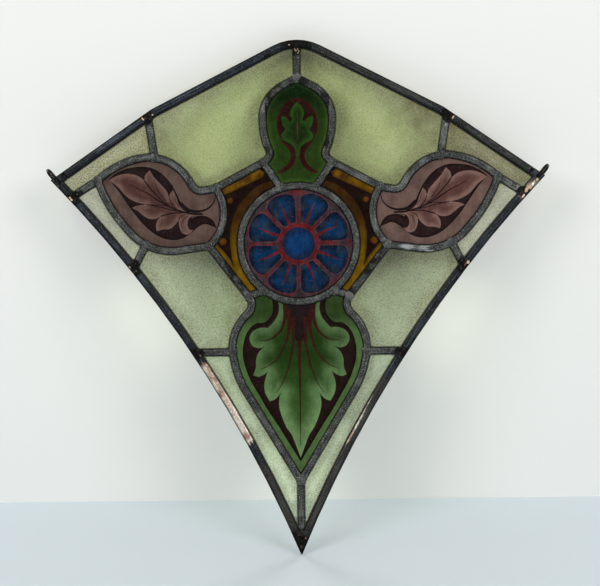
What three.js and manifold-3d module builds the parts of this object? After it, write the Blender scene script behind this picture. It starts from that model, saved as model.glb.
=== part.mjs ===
// Kite-shaped leaded glass panel, made to hang by two wire loops at its upper corners.
//
// Millimetres, +Z up. The panel stands in the XZ plane and is symmetric about X = 0. Its front faces -Y.
// The origin is midway between the eyes of the two hanging loops.
//
// Each pane of glass sits in the channels of H-section lead cames. A came is drawn by its centre line.
// Every centre line is worked out for the right half (X > 0) and mirrored for the left.

import * as THREE from 'three';
import { mergeVertices } from 'three/addons/utils/BufferGeometryUtils.js';
import Module from 'manifold-3d';

const wasm = await Module();
wasm.setup();

// Sections of glass, lead and wire.
const glassThickness = 3;
const channelHeight = 3.6;
const heartThickness = 1.5;
const cameWidth = 6;
const cameFlange = 1;
const borderWidth = 7;
const borderFlange = 1.4;
const gap = 0.3;
const chordError = 0.18;
const weldDistance = 0.0001;

// Outer edge of the border.
const apexHeight = 119.4;
const apexRadius = 44;
const shoulderPoint = [125.7, 55.2];
const cornerPoint = [212.4, -4.7];
const cornerInset = 6;
const tipHeight = -329.3;
const sideBow = 18;

// Roundel.
const roundelHeight = -61.1;
const roundelRingRadius = 49.9;

// Junctions where centre lines meet.
const neck = [29.6, 8.8];
const neckFoot = [14.8, -13.4];
const topLeafTip = [0, 81.3];
const lobeInnerTop = [70.6, -12.9];
const lobeInnerFoot = [76.7, -62.5];
const lobeTip = [172, -5.2];
const lobeTopJoint = [123, 13.9];
const lobeSideJoint = [131.4, -61];
const leafShoulder = [43.2, -106.2];
const shoulderFoot = [30, -101];
const bottomLeafTip = [0, -265];
const crossStrutHeight = -153.9;
const leafSideJoint = [57.5, crossStrutHeight];
const borderUpperJoint = [128.4, 48.5];
const borderTipJoint = [193.4, -18.6];
const borderSideJoint = [142.3, -82.6];
const borderCrossJoint = [87.8, crossStrutHeight];

// Hanging loops: a wire hairpin over each corner, turned a little so that both legs show.
const wireRadius = 1.2;
const eyeCentre = [211.8, 0];
const loopAngle = 50.5;
const loopLateral = 1.5;
const loopLegLength = 9.6;
const loopBendCentre = 0.3;
const wireHalfSides = 4;
const wireSteps = 22;

const point = ([x, z]) => new THREE.Vector2(x, z);
const mirrored = (points) => points.map((p) => new THREE.Vector2(-p.x, p.y));
const leftwards = (points) => mirrored(points).reverse();

// Points on the circular arc from a, through b, to c.
function arc(a, b, c) {
  const [start, middle, end] = [a, b, c].map(point);
  const toMiddle = middle.clone().sub(start);
  const toEnd = end.clone().sub(start);
  const cross = toMiddle.cross(toEnd);
  const scale = 0.5 / cross;
  const centre = new THREE.Vector2(
    start.x + scale * (toEnd.y * toMiddle.lengthSq() - toMiddle.y * toEnd.lengthSq()),
    start.y + scale * (toMiddle.x * toEnd.lengthSq() - toEnd.x * toMiddle.lengthSq()),
  );
  const radius = centre.distanceTo(start);
  const startAngle = start.clone().sub(centre).angle();
  let sweep = end.clone().sub(centre).angle() - startAngle;
  if (cross > 0 && sweep < 0) sweep += 2 * Math.PI;
  if (cross < 0 && sweep > 0) sweep -= 2 * Math.PI;
  const count = Math.ceil(Math.abs(sweep) / (2 * Math.acos(1 - chordError / radius)));
  const points = [];
  for (let i = 0; i <= count; i++) {
    const angle = startAngle + (sweep * i) / count;
    points.push(new THREE.Vector2(centre.x + radius * Math.cos(angle), centre.y + radius * Math.sin(angle)));
  }
  return points;
}

// One centre line from stretches, each a list of points or a single [x, z] corner.
function line(...stretches) {
  const points = [];
  for (const stretch of stretches) {
    const isCorner = typeof stretch[0] === 'number';
    for (const p of isCorner ? [point(stretch)] : stretch) {
      if (points.length === 0 || points[points.length - 1].distanceTo(p) > gap) points.push(p.clone());
    }
  }
  return points;
}

// The line moved sideways to its left, with mitred corners.
function offset(points, distance, closed) {
  const count = points.length;
  const direction = (i, j) => points[j].clone().sub(points[i]).normalize();
  return points.map((p, i) => {
    const before = closed || i > 0 ? direction((i + count - 1) % count, i) : direction(0, 1);
    const after = closed || i < count - 1 ? direction(i, (i + 1) % count) : before;
    const bisector = before.clone().add(after).normalize();
    const normal = new THREE.Vector2(-bisector.y, bisector.x);
    return p.clone().addScaledVector(normal, distance / bisector.dot(after));
  });
}

// The line made longer by a length at both ends.
function extended(points, length) {
  const result = points.map((p) => p.clone());
  const last = result.length - 1;
  result[0].addScaledVector(points[0].clone().sub(points[1]).normalize(), length);
  result[last].addScaledVector(points[last].clone().sub(points[last - 1]).normalize(), length);
  return result;
}

// The stretch of a line between the places nearest to two points, the short way round a closed one.
function between(points, from, to, closed) {
  const count = points.length;
  const place = (target) => {
    let best = { distance: Infinity };
    for (let i = 0; i < (closed ? count : count - 1); i++) {
      const segment = new THREE.Line3(
        new THREE.Vector3(points[i].x, points[i].y, 0),
        new THREE.Vector3(points[(i + 1) % count].x, points[(i + 1) % count].y, 0),
      );
      const goal = new THREE.Vector3(target[0], target[1], 0);
      const t = segment.closestPointToPointParameter(goal, true);
      const spot = segment.at(t, new THREE.Vector3());
      const distance = spot.distanceTo(goal);
      if (distance < best.distance) {
        best = { distance, at: i + t, spot: new THREE.Vector2(spot.x, spot.y) };
      }
    }
    return best;
  };
  const a = place(from);
  const b = place(to);
  const walk = (start, end) => {
    const stop = end.at >= start.at ? end.at : end.at + count;
    const passed = [];
    for (let i = Math.floor(start.at) + 1; i < stop; i++) passed.push(points[i % count]);
    return line([start.spot], passed, [end.spot]);
  };
  const length = (list) => list.slice(1).reduce((sum, p, i) => sum + p.distanceTo(list[i]), 0);
  if (!closed) return a.at <= b.at ? walk(a, b) : walk(b, a).reverse();
  const forward = walk(a, b);
  const backward = walk(b, a).reverse();
  return length(forward) <= length(backward) ? forward : backward;
}

// A flat outline in the XZ plane made a solid from yFront to yBack.
function prism(outline, yFront, yBack, hole) {
  const turned = (points, clockwise) => {
    return THREE.ShapeUtils.isClockWise(points) === clockwise ? points : [...points].reverse();
  };
  const shape = new THREE.Shape(turned(outline, false));
  if (hole) shape.holes.push(new THREE.Path(turned(hole, true)));
  const geometry = new THREE.ExtrudeGeometry(shape, { depth: yBack - yFront, bevelEnabled: false });
  geometry.rotateX(Math.PI / 2);
  geometry.translate(0, yBack, 0);
  return toSolid(geometry);
}

function toSolid(geometry) {
  const plain = geometry.index ? geometry.toNonIndexed() : geometry;
  plain.deleteAttribute('normal');
  plain.deleteAttribute('uv');
  const merged = mergeVertices(plain, weldDistance);
  return new wasm.Manifold(new wasm.Mesh({
    numProp: 3,
    vertProperties: new Float32Array(merged.attributes.position.array),
    triVerts: new Uint32Array(merged.index.array),
  }));
}

// A band of one width along a line, closed or open.
function band(points, halfWidth, yFront, yBack, closed) {
  const edges = [offset(points, halfWidth, closed), offset(points, -halfWidth, closed)];
  if (!closed) return prism([...edges[0], ...edges[1].reverse()], yFront, yBack);
  edges.sort((a, b) => Math.abs(THREE.ShapeUtils.area(b)) - Math.abs(THREE.ShapeUtils.area(a)));
  return prism(edges[0], yFront, yBack, edges[1]);
}

const lead = {
  width: cameWidth,
  flange: cameFlange,
  color: 0x55575a,
  roughness: 0.62,
  metalness: 0.75,
};
const borderLead = {
  width: borderWidth,
  flange: borderFlange,
  color: 0x232a32,
  roughness: 0.4,
  metalness: 0.8,
};

class Came {
  constructor(name, section, points, { closed = false, within = [], mitred = false } = {}) {
    Object.assign(this, { name, section, points, closed, within, mitred });
    this.halfDepth = channelHeight / 2 + section.flange;
  }

  // The H section: the heart between the glass edges, and a flange over each face.
  solid() {
    const channel = channelHeight / 2;
    const part = (width, yFront, yBack) => band(this.points, width / 2, yFront, yBack, this.closed);
    return part(heartThickness, -this.halfDepth, this.halfDepth)
      .add(part(this.section.width, -this.halfDepth, -channel))
      .add(part(this.section.width, channel, this.halfDepth));
  }

  // The whole space of the came with its gap, cut from the cames that butt against it.
  envelope() {
    const points = this.closed ? this.points : extended(this.points, gap);
    const depth = this.halfDepth + gap;
    return band(points, this.section.width / 2 + gap, -depth, depth, this.closed);
  }

  // The heart with its gap, cut from the glass.
  heartSpace() {
    const reach = heartThickness / 2 + gap;
    const points = this.closed ? this.points : extended(this.points, reach);
    return band(points, reach, -this.halfDepth, this.halfDepth, this.closed);
  }
}

const panel = new THREE.Group();

function addMesh(name, solid, finish) {
  const mesh = solid.getMesh();
  const geometry = new THREE.BufferGeometry();
  geometry.setAttribute('position', new THREE.BufferAttribute(new Float32Array(mesh.vertProperties), 3));
  geometry.setIndex(new THREE.BufferAttribute(new Uint32Array(mesh.triVerts), 1));
  geometry.computeVertexNormals();
  const { color, roughness, metalness, transparent = false, opacity = 1 } = finish;
  const node = new THREE.Mesh(geometry, new THREE.MeshStandardMaterial({
    color, roughness, metalness, transparent, opacity,
  }));
  node.name = name;
  panel.add(node);
}

// Centre lines of the right half and of the middle.
const cornerLeft = [-cornerPoint[0], cornerPoint[1]];
const shoulderLeft = [-shoulderPoint[0], shoulderPoint[1]];
const tip = [0, tipHeight];
const roofAngle = Math.atan2(apexHeight - shoulderPoint[1], shoulderPoint[0]);
const apexTangent = [
  apexRadius * Math.sin(roofAngle),
  apexHeight - apexRadius * Math.sin(roofAngle) * Math.tan(roofAngle),
];
const apexTop = [0, apexHeight - apexRadius * (1 / Math.cos(roofAngle) - 1)];

function sideArc() {
  const chord = point(cornerPoint).sub(point(tip));
  const inward = new THREE.Vector2(-chord.y, chord.x).normalize();
  const middle = point(tip).addScaledVector(chord, 0.5).addScaledVector(inward, sideBow);
  return arc(cornerPoint, [middle.x, middle.y], tip);
}

const side = sideArc();
const outerEdge = line(
  leftwards(side).slice(0, -1),
  cornerLeft,
  shoulderLeft,
  arc([-apexTangent[0], apexTangent[1]], apexTop, apexTangent),
  shoulderPoint,
  side.slice(0, -1),
);
const rim = offset(outerEdge, -borderWidth / 2, true);
const rimCorner = [cornerPoint[0] - cornerInset, cornerPoint[1]];
const rimCornerLeft = [-rimCorner[0], rimCorner[1]];
const rimTip = [0, tipHeight + borderWidth];
const rimTop = [0, apexTop[1] - borderWidth / 2];

const ring = arc(
  [roundelRingRadius, roundelHeight],
  [0, roundelHeight + roundelRingRadius],
  [-roundelRingRadius, roundelHeight],
).concat(arc(
  [-roundelRingRadius, roundelHeight],
  [0, roundelHeight - roundelRingRadius],
  [roundelRingRadius, roundelHeight],
).slice(1, -1));

const topLeafRight = line(
  topLeafTip,
  arc([15.5, 73], [26.5, 61], [29.9, 43.9]),
  arc([29.9, 43.9], [28.3, 30.5], [23.9, 18]),
  arc([23.9, 18], [23.9, 14.9], [25.4, 12.3]),
  neck,
  neckFoot,
);
const topLeaf = line(leftwards(topLeafRight), topLeafRight);

const bottomLeafRight = line(
  arc(leafShoulder, [40.7, -112.5], [43.6, -120.4]),
  arc([43.6, -120.4], [53, -132], [57.8, -149]),
  arc([57.8, -149], [54.5, -169.5], [44, -191.6]),
  bottomLeafTip,
);
const bottomLeaf = line(bottomLeafRight, leftwards(bottomLeafRight));

const lobe = line(
  arc(lobeInnerFoot, [63.8, -34], lobeInnerTop),
  arc([81.6, -14.9], [86.7, -14.3], [90.6, -11.1]),
  arc([93.9, -5.3], [103.5, 5.5], [129.8, 14.3]),
  arc([129.8, 14.3], [154.8, 7], lobeTip),
  arc(lobeTip, [160.9, -29], [146.8, -47.7]),
  arc([146.8, -47.7], [130.8, -61.3], [105.3, -66.4]),
);

// The space inside the outer edge, and its two halves, which part the lower border cames at the tip.
const spaceDepth = borderWidth;
const panelSpace = prism(outerEdge, -spaceDepth, spaceDepth);
const halfPanel = (hand) => {
  const near = (hand * gap) / 2;
  const far = hand * 2 * cornerPoint[0];
  const low = tipHeight * 2;
  const high = apexHeight * 2;
  const corners = [[near, low], [far, low], [far, high], [near, high]];
  return prism(corners.map(point), -spaceDepth, spaceDepth);
};

const cames = {};
const addCame = (name, section, points, options) => {
  cames[name] = new Came(name, section, points, options);
};
const addPair = (name, section, points, options) => {
  addCame(`${name}_right`, section, points, options);
  addCame(`${name}_left`, section, leftwards(points), options);
};

addCame('lead_roundel_ring', lead, ring, { closed: true });
addCame('lead_top_leaf', lead, topLeaf);
addCame('lead_bottom_leaf', lead, bottomLeaf);
addPair('lead_lobe', lead, lobe, { closed: true });
addPair('lead_neck', lead, line(neck, lobeInnerTop));
addPair('lead_diagonal', lead, line(lobeInnerFoot, leafShoulder));
addPair('lead_shoulder', lead, line(leafShoulder, shoulderFoot));
const lowerRim = extended(between(rim, rimCorner, rimTip, true), borderWidth);
const upperRim = between(rim, rimCornerLeft, rimCorner, true);
addCame('rim_lower_right', borderLead, lowerRim, {
  within: [panelSpace, halfPanel(1)],
  mitred: true,
});
addCame('rim_lower_left', borderLead, leftwards(lowerRim), {
  within: [panelSpace, halfPanel(-1)],
  mitred: true,
});
addCame('rim_upper', borderLead, upperRim, { within: [panelSpace] });
addCame('lead_top_post', lead, line(rimTop, topLeafTip));
addCame('lead_bottom_post', lead, line(bottomLeafTip, rimTip));
addPair('lead_upper_strut', lead, line(borderUpperJoint, lobeTopJoint));
addPair('lead_tip_strut', lead, line(lobeTip, borderTipJoint));
addPair('lead_side_strut', lead, line(lobeSideJoint, borderSideJoint));
addPair('lead_cross_strut', lead, line(leafSideJoint, borderCrossJoint));

// Each came butts against those before it in the list, apart from the mitred pair.
const placed = [];
for (const came of Object.values(cames)) {
  let solid = came.solid();
  for (const space of came.within) solid = solid.intersect(space);
  const box = solid.boundingBox();
  for (const other of placed) {
    const apart = [0, 2].some((axis) => {
      return box.min[axis] > other.box.max[axis] || box.max[axis] < other.box.min[axis];
    });
    if (!apart && !(came.mitred && other.mitred)) solid = solid.subtract(other.space);
  }
  const space = came.envelope();
  placed.push({ mitred: came.mitred, space, box: space.boundingBox() });
  addMesh(came.name, solid, came.section);
}

// Glass: the region inside its centre lines, less the hearts of the cames round it.
const finishes = {
  pale: { color: 0xa9b885, roughness: 0.12, metalness: 0, transparent: true, opacity: 0.45 },
  green: { color: 0x3c6a2c, roughness: 0.3, metalness: 0 },
  plum: { color: 0x7a5a58, roughness: 0.35, metalness: 0 },
  amber: { color: 0x6e4d08, roughness: 0.3, metalness: 0 },
  blue: { color: 0x17365f, roughness: 0.35, metalness: 0 },
};

function addGlass(name, finish, outline, bounds) {
  let solid = prism(outline, -glassThickness / 2, glassThickness / 2);
  for (const bound of bounds) solid = solid.subtract(cames[bound].heartSpace());
  addMesh(name, solid, finish);
}

function addGlassPair(name, finish, outline, bounds) {
  for (const [hand, points] of [['right', outline], ['left', leftwards(outline)]]) {
    const handed = bounds.map((bound) => (cames[bound] ? bound : `${bound}_${hand}`));
    addGlass(`${name}_${hand}`, finish, points, handed);
  }
}

addGlass('glass_roundel', finishes.blue, ring, ['lead_roundel_ring']);
addGlass(
  'glass_top_leaf',
  finishes.green,
  line(topLeaf, between(ring, neckFoot, [-neckFoot[0], neckFoot[1]], true)),
  ['lead_top_leaf', 'lead_roundel_ring'],
);
addGlass(
  'glass_bottom_leaf',
  finishes.green,
  line(bottomLeaf, between(ring, [-shoulderFoot[0], shoulderFoot[1]], shoulderFoot, true)),
  ['lead_bottom_leaf', 'lead_shoulder_right', 'lead_shoulder_left', 'lead_roundel_ring'],
);
addGlassPair('glass_lobe', finishes.plum, lobe, ['lead_lobe']);
addGlassPair(
  'glass_amber',
  finishes.amber,
  line(
    neck,
    between(lobe, lobeInnerTop, lobeInnerFoot, true),
    leafShoulder,
    between(ring, shoulderFoot, neckFoot, true),
  ),
  ['lead_neck', 'lead_lobe', 'lead_diagonal', 'lead_shoulder', 'lead_roundel_ring', 'lead_top_leaf'],
);
addGlassPair(
  'glass_upper_pane',
  finishes.pale,
  line(
    between(rim, rimTop, borderUpperJoint, true),
    between(lobe, lobeTopJoint, lobeInnerTop, true),
    between(topLeafRight, neck, topLeafTip),
  ),
  ['lead_top_post', 'rim_upper', 'lead_upper_strut', 'lead_lobe', 'lead_neck', 'lead_top_leaf'],
);
addGlassPair(
  'glass_corner_strip',
  finishes.pale,
  line(between(rim, borderUpperJoint, borderTipJoint, true), between(lobe, lobeTip, lobeTopJoint, true)),
  ['lead_upper_strut', 'rim_upper', 'rim_lower', 'lead_tip_strut', 'lead_lobe'],
);
addGlassPair(
  'glass_side_strip',
  finishes.pale,
  line(between(rim, borderTipJoint, borderSideJoint, true), between(lobe, lobeSideJoint, lobeTip, true)),
  ['lead_tip_strut', 'rim_lower', 'lead_side_strut', 'lead_lobe'],
);
addGlassPair(
  'glass_lower_pane',
  finishes.pale,
  line(
    between(rim, borderSideJoint, borderCrossJoint, true),
    between(bottomLeafRight, leafSideJoint, leafShoulder),
    between(lobe, lobeInnerFoot, lobeSideJoint, true),
  ),
  ['lead_side_strut', 'rim_lower', 'lead_cross_strut', 'lead_bottom_leaf', 'lead_diagonal', 'lead_lobe'],
);
addGlassPair(
  'glass_bottom_strip',
  finishes.pale,
  line(
    between(rim, borderCrossJoint, rimTip, true),
    between(bottomLeafRight, bottomLeafTip, leafSideJoint),
  ),
  ['lead_cross_strut', 'rim_lower', 'lead_bottom_post', 'lead_bottom_leaf'],
);

// The wire of a hanging loop: a leg on the front face, a half turn beyond the corner, a leg on the back.
class LoopWire extends THREE.Curve {
  constructor(hand) {
    super();
    const angle = THREE.MathUtils.degToRad(loopAngle);
    this.out = new THREE.Vector3(hand * Math.cos(angle), 0, Math.sin(angle));
    const depth = channelHeight / 2 + borderFlange + gap + wireRadius;
    this.across = new THREE.Vector3(hand * Math.sin(angle), 0, -Math.cos(angle));
    this.across.multiplyScalar(loopLateral).setY(depth);
    this.centre = new THREE.Vector3(hand * eyeCentre[0], 0, eyeCentre[1]);
    this.centre.addScaledVector(this.out, loopBendCentre);
    this.leg = loopLegLength + loopBendCentre;
    this.turn = Math.PI * this.across.length();
  }

  getPoint(t, target = new THREE.Vector3()) {
    const run = t * (2 * this.leg + this.turn);
    target.copy(this.centre);
    if (run < this.leg) return target.sub(this.across).addScaledVector(this.out, run - this.leg);
    if (run > this.leg + this.turn) {
      return target.add(this.across).addScaledVector(this.out, this.leg + this.turn - run);
    }
    const angle = (Math.PI * (run - this.leg)) / this.turn;
    const bend = this.across.length() * Math.sin(angle);
    return target.addScaledVector(this.across, -Math.cos(angle)).addScaledVector(this.out, bend);
  }
}

for (const [name, hand] of [['loop_right', 1], ['loop_left', -1]]) {
  const wire = new THREE.Shape().absarc(0, 0, wireRadius, 0, 2 * Math.PI, false);
  const geometry = new THREE.ExtrudeGeometry(wire, {
    extrudePath: new LoopWire(hand),
    steps: wireSteps,
    curveSegments: wireHalfSides,
  });
  addMesh(name, toSolid(geometry), { color: 0x1b1a1a, roughness: 0.45, metalness: 0.85 });
}

export default panel;
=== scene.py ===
"""Leaded glass panel: worked lead, solder, clear and painted glass, wire loops and a plain stage."""

import logging
import math
from collections.abc import Sequence
from dataclasses import dataclass, field
from enum import Enum, IntEnum

import bmesh
import bpy
import numpy as np
from bmesh.types import BMesh, BMFace, BMLayerItem, BMVert
from bpy.types import Material, Mesh, Node, Object
from bpy.types import NodeSocket as Socket
from mathutils import Matrix, Vector, noise
from mathutils.geometry import delaunay_2d_cdt


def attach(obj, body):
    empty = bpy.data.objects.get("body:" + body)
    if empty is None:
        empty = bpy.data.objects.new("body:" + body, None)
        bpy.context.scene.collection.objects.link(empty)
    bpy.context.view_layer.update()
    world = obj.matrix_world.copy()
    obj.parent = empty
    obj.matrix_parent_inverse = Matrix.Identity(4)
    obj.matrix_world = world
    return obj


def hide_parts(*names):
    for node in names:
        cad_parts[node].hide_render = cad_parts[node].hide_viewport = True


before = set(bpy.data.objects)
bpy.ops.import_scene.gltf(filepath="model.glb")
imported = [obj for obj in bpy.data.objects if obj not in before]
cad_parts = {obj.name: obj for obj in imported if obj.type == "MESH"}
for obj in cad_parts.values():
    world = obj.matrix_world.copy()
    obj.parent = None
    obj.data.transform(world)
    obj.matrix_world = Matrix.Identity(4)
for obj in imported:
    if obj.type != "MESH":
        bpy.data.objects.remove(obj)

log = logging.getLogger("panel")

MM = 0.001
BODY = "root"
Point = tuple[float, float]
Stroke = tuple[Point, ...]
Colour = tuple[float, float, float]
Span = tuple[float, float]

# Depths from the middle of the panel's thickness, in millimetres.
GLASS_FACE = 1.5
CHANNEL = 1.8
LEAD_FACE = 2.8
BORDER_FACE = 3.2

# How the CAD nodes are read: corners this near are one, and a face this straight and this near a
# depth belongs to a flat side.
DOUBLED = 0.001
STRAIGHT = 0.99
DEPTH_SLACK = 0.1

# Places that agree in this many decimals of a millimetre are worked out once.
DECIMALS = 4

# Longer than any distance on the panel.
FAR = 1e9


class Hand(IntEnum):
    """A hand of the panel seen from the front, as the sign of x there."""

    RIGHT = 1
    LEFT = -1

    @property
    def word(self) -> str:
        """The hand as the nodes' names give it."""
        return self.name.lower()


class Side(IntEnum):
    """The front or the back of the panel, as the sign of y there."""

    FRONT = -1
    BACK = 1


def tone(red: float, green: float, blue: float) -> Colour:
    """Returns the linear colour of a tone given from 0 to 255 as the eye sees it."""
    return tuple(float((value / 255) ** 2.2) for value in (red, green, blue))


def smooth_line(points: list[Point], step: float = 1.2) -> np.ndarray:
    """Draws a smooth line through a few points.

    Args:
        points: Places the line goes through, in millimetres.
        step: Distance between the points of the result.

    Returns:
        The line's points, one row each.
    """
    control = np.array(points, dtype=float)
    if len(control) < 3:
        return control
    padded = np.vstack([2 * control[0] - control[1], control, 2 * control[-1] - control[-2]])
    line = [control[0]]
    for a, b, c, d in zip(padded, padded[1:], padded[2:], padded[3:]):
        count = max(2, int(np.linalg.norm(c - b) / step) + 1)
        for t in np.linspace(0, 1, count + 1)[1:]:
            line.append(0.5 * (
                2 * b + (c - a) * t + (2 * a - 5 * b + 4 * c - d) * t**2 + (3 * b - a - 3 * c + d) * t**3
            ))
    return np.array(line)


def joined(corner: Point, strokes: tuple[Stroke, ...]) -> list[np.ndarray]:
    """Joins smooth strokes at sharp corners.

    Args:
        corner: Where the first stroke starts.
        strokes: Each starts where the one before it ends.

    Returns:
        Their points without the last.
    """
    points = []
    for stroke in strokes:
        points.extend(smooth_line([corner, *stroke])[:-1])
        corner = stroke[-1]
    return points


def outline(*strokes: Stroke) -> np.ndarray:
    """Returns the closed outline made by strokes, the last of which ends where the first starts."""
    return np.array(joined(strokes[-1][-1], strokes))


def symmetric(*strokes: Stroke) -> np.ndarray:
    """Returns the closed outline made by strokes on the right half and their mirror image."""
    right = np.array([*joined(strokes[0][0], strokes[1:]), strokes[-1][-1]])
    return np.vstack([right, mirrored(right)])


@dataclass(frozen=True)
class BrushLine:
    """A painted line: the places it goes through, and its width at its start, middle and end."""

    points: Stroke
    widths: tuple[float, float, float]

    def outline(self) -> np.ndarray:
        """Returns the line's outline, out along one side and back along the other."""
        middle = smooth_line(list(self.points))
        along = np.concatenate([[0], np.cumsum(np.linalg.norm(np.diff(middle, axis=0), axis=1))])
        half = np.interp(along / along[-1], [0, 0.5, 1], self.widths) / 2
        direction = np.gradient(middle, axis=0)
        direction /= np.linalg.norm(direction, axis=1)[:, None]
        normal = np.stack([-direction[:, 1], direction[:, 0]], axis=1) * half[:, None]
        return np.vstack([middle + normal, (middle - normal)[::-1]])


def disc(centre: Point, radius: float, sides: int = 48) -> np.ndarray:
    """Returns the outline of a round dot."""
    angles = np.linspace(0, 2 * math.pi, sides, endpoint=False)
    return np.stack([centre[0] + radius * np.cos(angles), centre[1] + radius * np.sin(angles)], axis=1)


def mirrored(line: np.ndarray) -> np.ndarray:
    """Returns the line's mirror image, run backwards so that an outline keeps its turn."""
    return (line * [-1, 1])[::-1]


def inside(points: np.ndarray, edge: np.ndarray) -> np.ndarray:
    """Tells which points lie inside a closed outline.

    Args:
        points: The points, one row each.
        edge: The outline's points.

    Returns:
        True for each point inside.
    """
    x, z = points[:, 0, None], points[:, 1, None]
    x1, z1 = edge[:, 0], edge[:, 1]
    x2, z2 = np.roll(x1, -1), np.roll(z1, -1)
    rise = np.where(z2 == z1, 1e-12, z2 - z1)
    crossing = ((z1 > z) != (z2 > z)) & (x < (x2 - x1) * (z - z1) / rise + x1)
    return np.count_nonzero(crossing, axis=1) % 2 == 1


def distance_to(points: np.ndarray, lines: list[np.ndarray], closed: bool = True) -> np.ndarray:
    """Returns how far each point is from the nearest of some lines, in millimetres.

    Args:
        points: The points, one row each.
        lines: The lines' points.
        closed: Whether each line's end joins its start.

    Returns:
        One distance for each point.
    """
    best = np.full(len(points), FAR)
    for line in lines:
        ends = np.roll(line, -1, axis=0) if closed else line[1:]
        for a, b in zip(line, ends):
            run = b - a
            t = np.clip((points - a) @ run / max(run @ run, 1e-12), 0, 1)
            best = np.minimum(best, np.hypot(*(points - a - t[:, None] * run).T))
    return best


def eased(share: np.ndarray) -> np.ndarray:
    """Returns shares held between 0 and 1 that start and end softly, as one column."""
    share = np.clip(share, 0, 1)
    return (share * share * (3 - 2 * share))[:, None]


def mixed(under: np.ndarray, over: Colour, share: np.ndarray) -> np.ndarray:
    """Returns colours with another laid over them, by a share for each row."""
    return under * (1 - share) + np.array(over) * share


def lattice(edge: np.ndarray, spacing: float, clear_of: list[np.ndarray],
            clearance: float = 0.4) -> np.ndarray:
    """Returns evenly spread points inside an outline that keep clear of it and of some lines.

    Args:
        edge: The closed outline.
        spacing: The distance between neighbours.
        clear_of: Closed lines that the points keep clear of too.
        clearance: How far they keep, as a share of the spacing.

    Returns:
        The points, one row each.
    """
    low, high = edge.min(axis=0), edge.max(axis=0)
    rows = np.arange(low[1], high[1], spacing * math.sqrt(3) / 2)
    spots = []
    for index, z in enumerate(rows):
        for x in np.arange(low[0] + (index % 2) * spacing / 2, high[0], spacing):
            spots.append((x, z))
    spots = np.array(spots)
    spots = spots[inside(spots, edge)]
    return spots[distance_to(spots, [edge, *clear_of]) > spacing * clearance]


def with_cuts(edge: np.ndarray, longest: float) -> np.ndarray:
    """Returns a closed outline whose long straight stretches are cut into short ones.

    Args:
        edge: The outline's points.
        longest: The longest stretch left, in millimetres.

    Returns:
        The outline with its new points.
    """
    points = []
    for a, b in zip(edge, np.roll(edge, -1, axis=0)):
        count = max(1, math.ceil(np.linalg.norm(b - a) / longest))
        points.extend(a + (b - a) * t for t in np.linspace(0, 1, count, endpoint=False))
    return np.array(points)


def ring_edges(rings: list[np.ndarray], start: int = 0) -> list[tuple[int, int]]:
    """Returns the edges of closed rings whose points are numbered one after the other.

    Args:
        rings: Each ring's points.
        start: The number of the first ring's first point.

    Returns:
        The two point numbers of each edge.
    """
    edges = []
    for ring in rings:
        count = len(ring)
        edges.extend((start + i, start + (i + 1) % count) for i in range(count))
        start += count
    return edges


def triangulated(points: np.ndarray, rims: list[tuple[int, int]], outer: np.ndarray,
                 holes: list[np.ndarray], merge: float) -> tuple[list, list, list]:
    """Joins points in the panel's plane by triangles.

    Args:
        points: The points, one row each.
        rims: Edges that the triangles keep.
        outer: The outline that the triangles stay inside.
        holes: Outlines that they stay outside of.
        merge: Points nearer than this become one.

    Returns:
        The corners, the triangles as corner numbers, and for each corner the points it stands for.
    """
    result = delaunay_2d_cdt([Vector(point) for point in points], rims, [], 0, merge)
    corners, triangles, origins = result[0], result[2], result[3]
    centres = np.array([np.mean([corners[i] for i in triangle], axis=0) for triangle in triangles])
    keep = inside(centres, outer)
    for hole in holes:
        keep &= ~inside(centres, hole)
    return corners, [triangle for triangle, wanted in zip(triangles, keep) if wanted], origins


def merged_copy(node: str) -> BMesh:
    """Returns a bmesh with the shape of a CAD node, its doubled corners merged."""
    shape = bmesh.new()
    shape.from_mesh(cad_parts[node].data)
    bmesh.ops.remove_doubles(shape, verts=shape.verts, dist=DOUBLED * MM)
    return shape


def boundary_loops(faces: list[BMFace]) -> list[list[BMVert]]:
    """Returns the corners round a flat patch of faces, one list for each loop.

    Args:
        faces: The faces of the patch.

    Returns:
        The corners of each loop, in order.
    """
    patch = set(faces)
    following = {}
    for face in faces:
        for loop in face.loops:
            if sum(other in patch for other in loop.edge.link_faces) == 1:
                following[loop.vert] = loop.link_loop_next.vert
    loops = []
    while following:
        start, vert = following.popitem()
        corners = [start]
        while vert is not start:
            corners.append(vert)
            vert = following.pop(vert)
        loops.append(corners)
    return loops


def facing(shape: BMesh, side: Side, depth: float) -> list[BMFace]:
    """Returns the faces that look straight out of one side at a depth.

    Args:
        shape: The mesh they are part of.
        side: The front or the back.
        depth: Their distance from the panel's middle, in millimetres.

    Returns:
        The faces.
    """
    nearest = (depth - DEPTH_SLACK) * MM
    return [
        face for face in shape.faces
        if face.normal.y * side > STRAIGHT and face.calc_center_median().y * side > nearest
    ]


def flat_points(verts: list[BMVert]) -> np.ndarray:
    """Returns corners as points in the panel's plane, in millimetres."""
    return np.array([(vert.co.x, vert.co.z) for vert in verts]) / MM


def plain_object(name: str, shape: BMesh, material: Material) -> Object:
    """Turns a bmesh, in metres and in the frame's place, into an object with its material.

    Args:
        name: The object's name.
        shape: Its mesh, which is freed.
        material: The material it wears.

    Returns:
        The new object.
    """
    mesh = bpy.data.meshes.new(name)
    shape.to_mesh(mesh)
    shape.free()
    mesh.materials.append(material)
    made = bpy.data.objects.new(name, mesh)
    bpy.context.scene.collection.objects.link(made)
    return made


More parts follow.
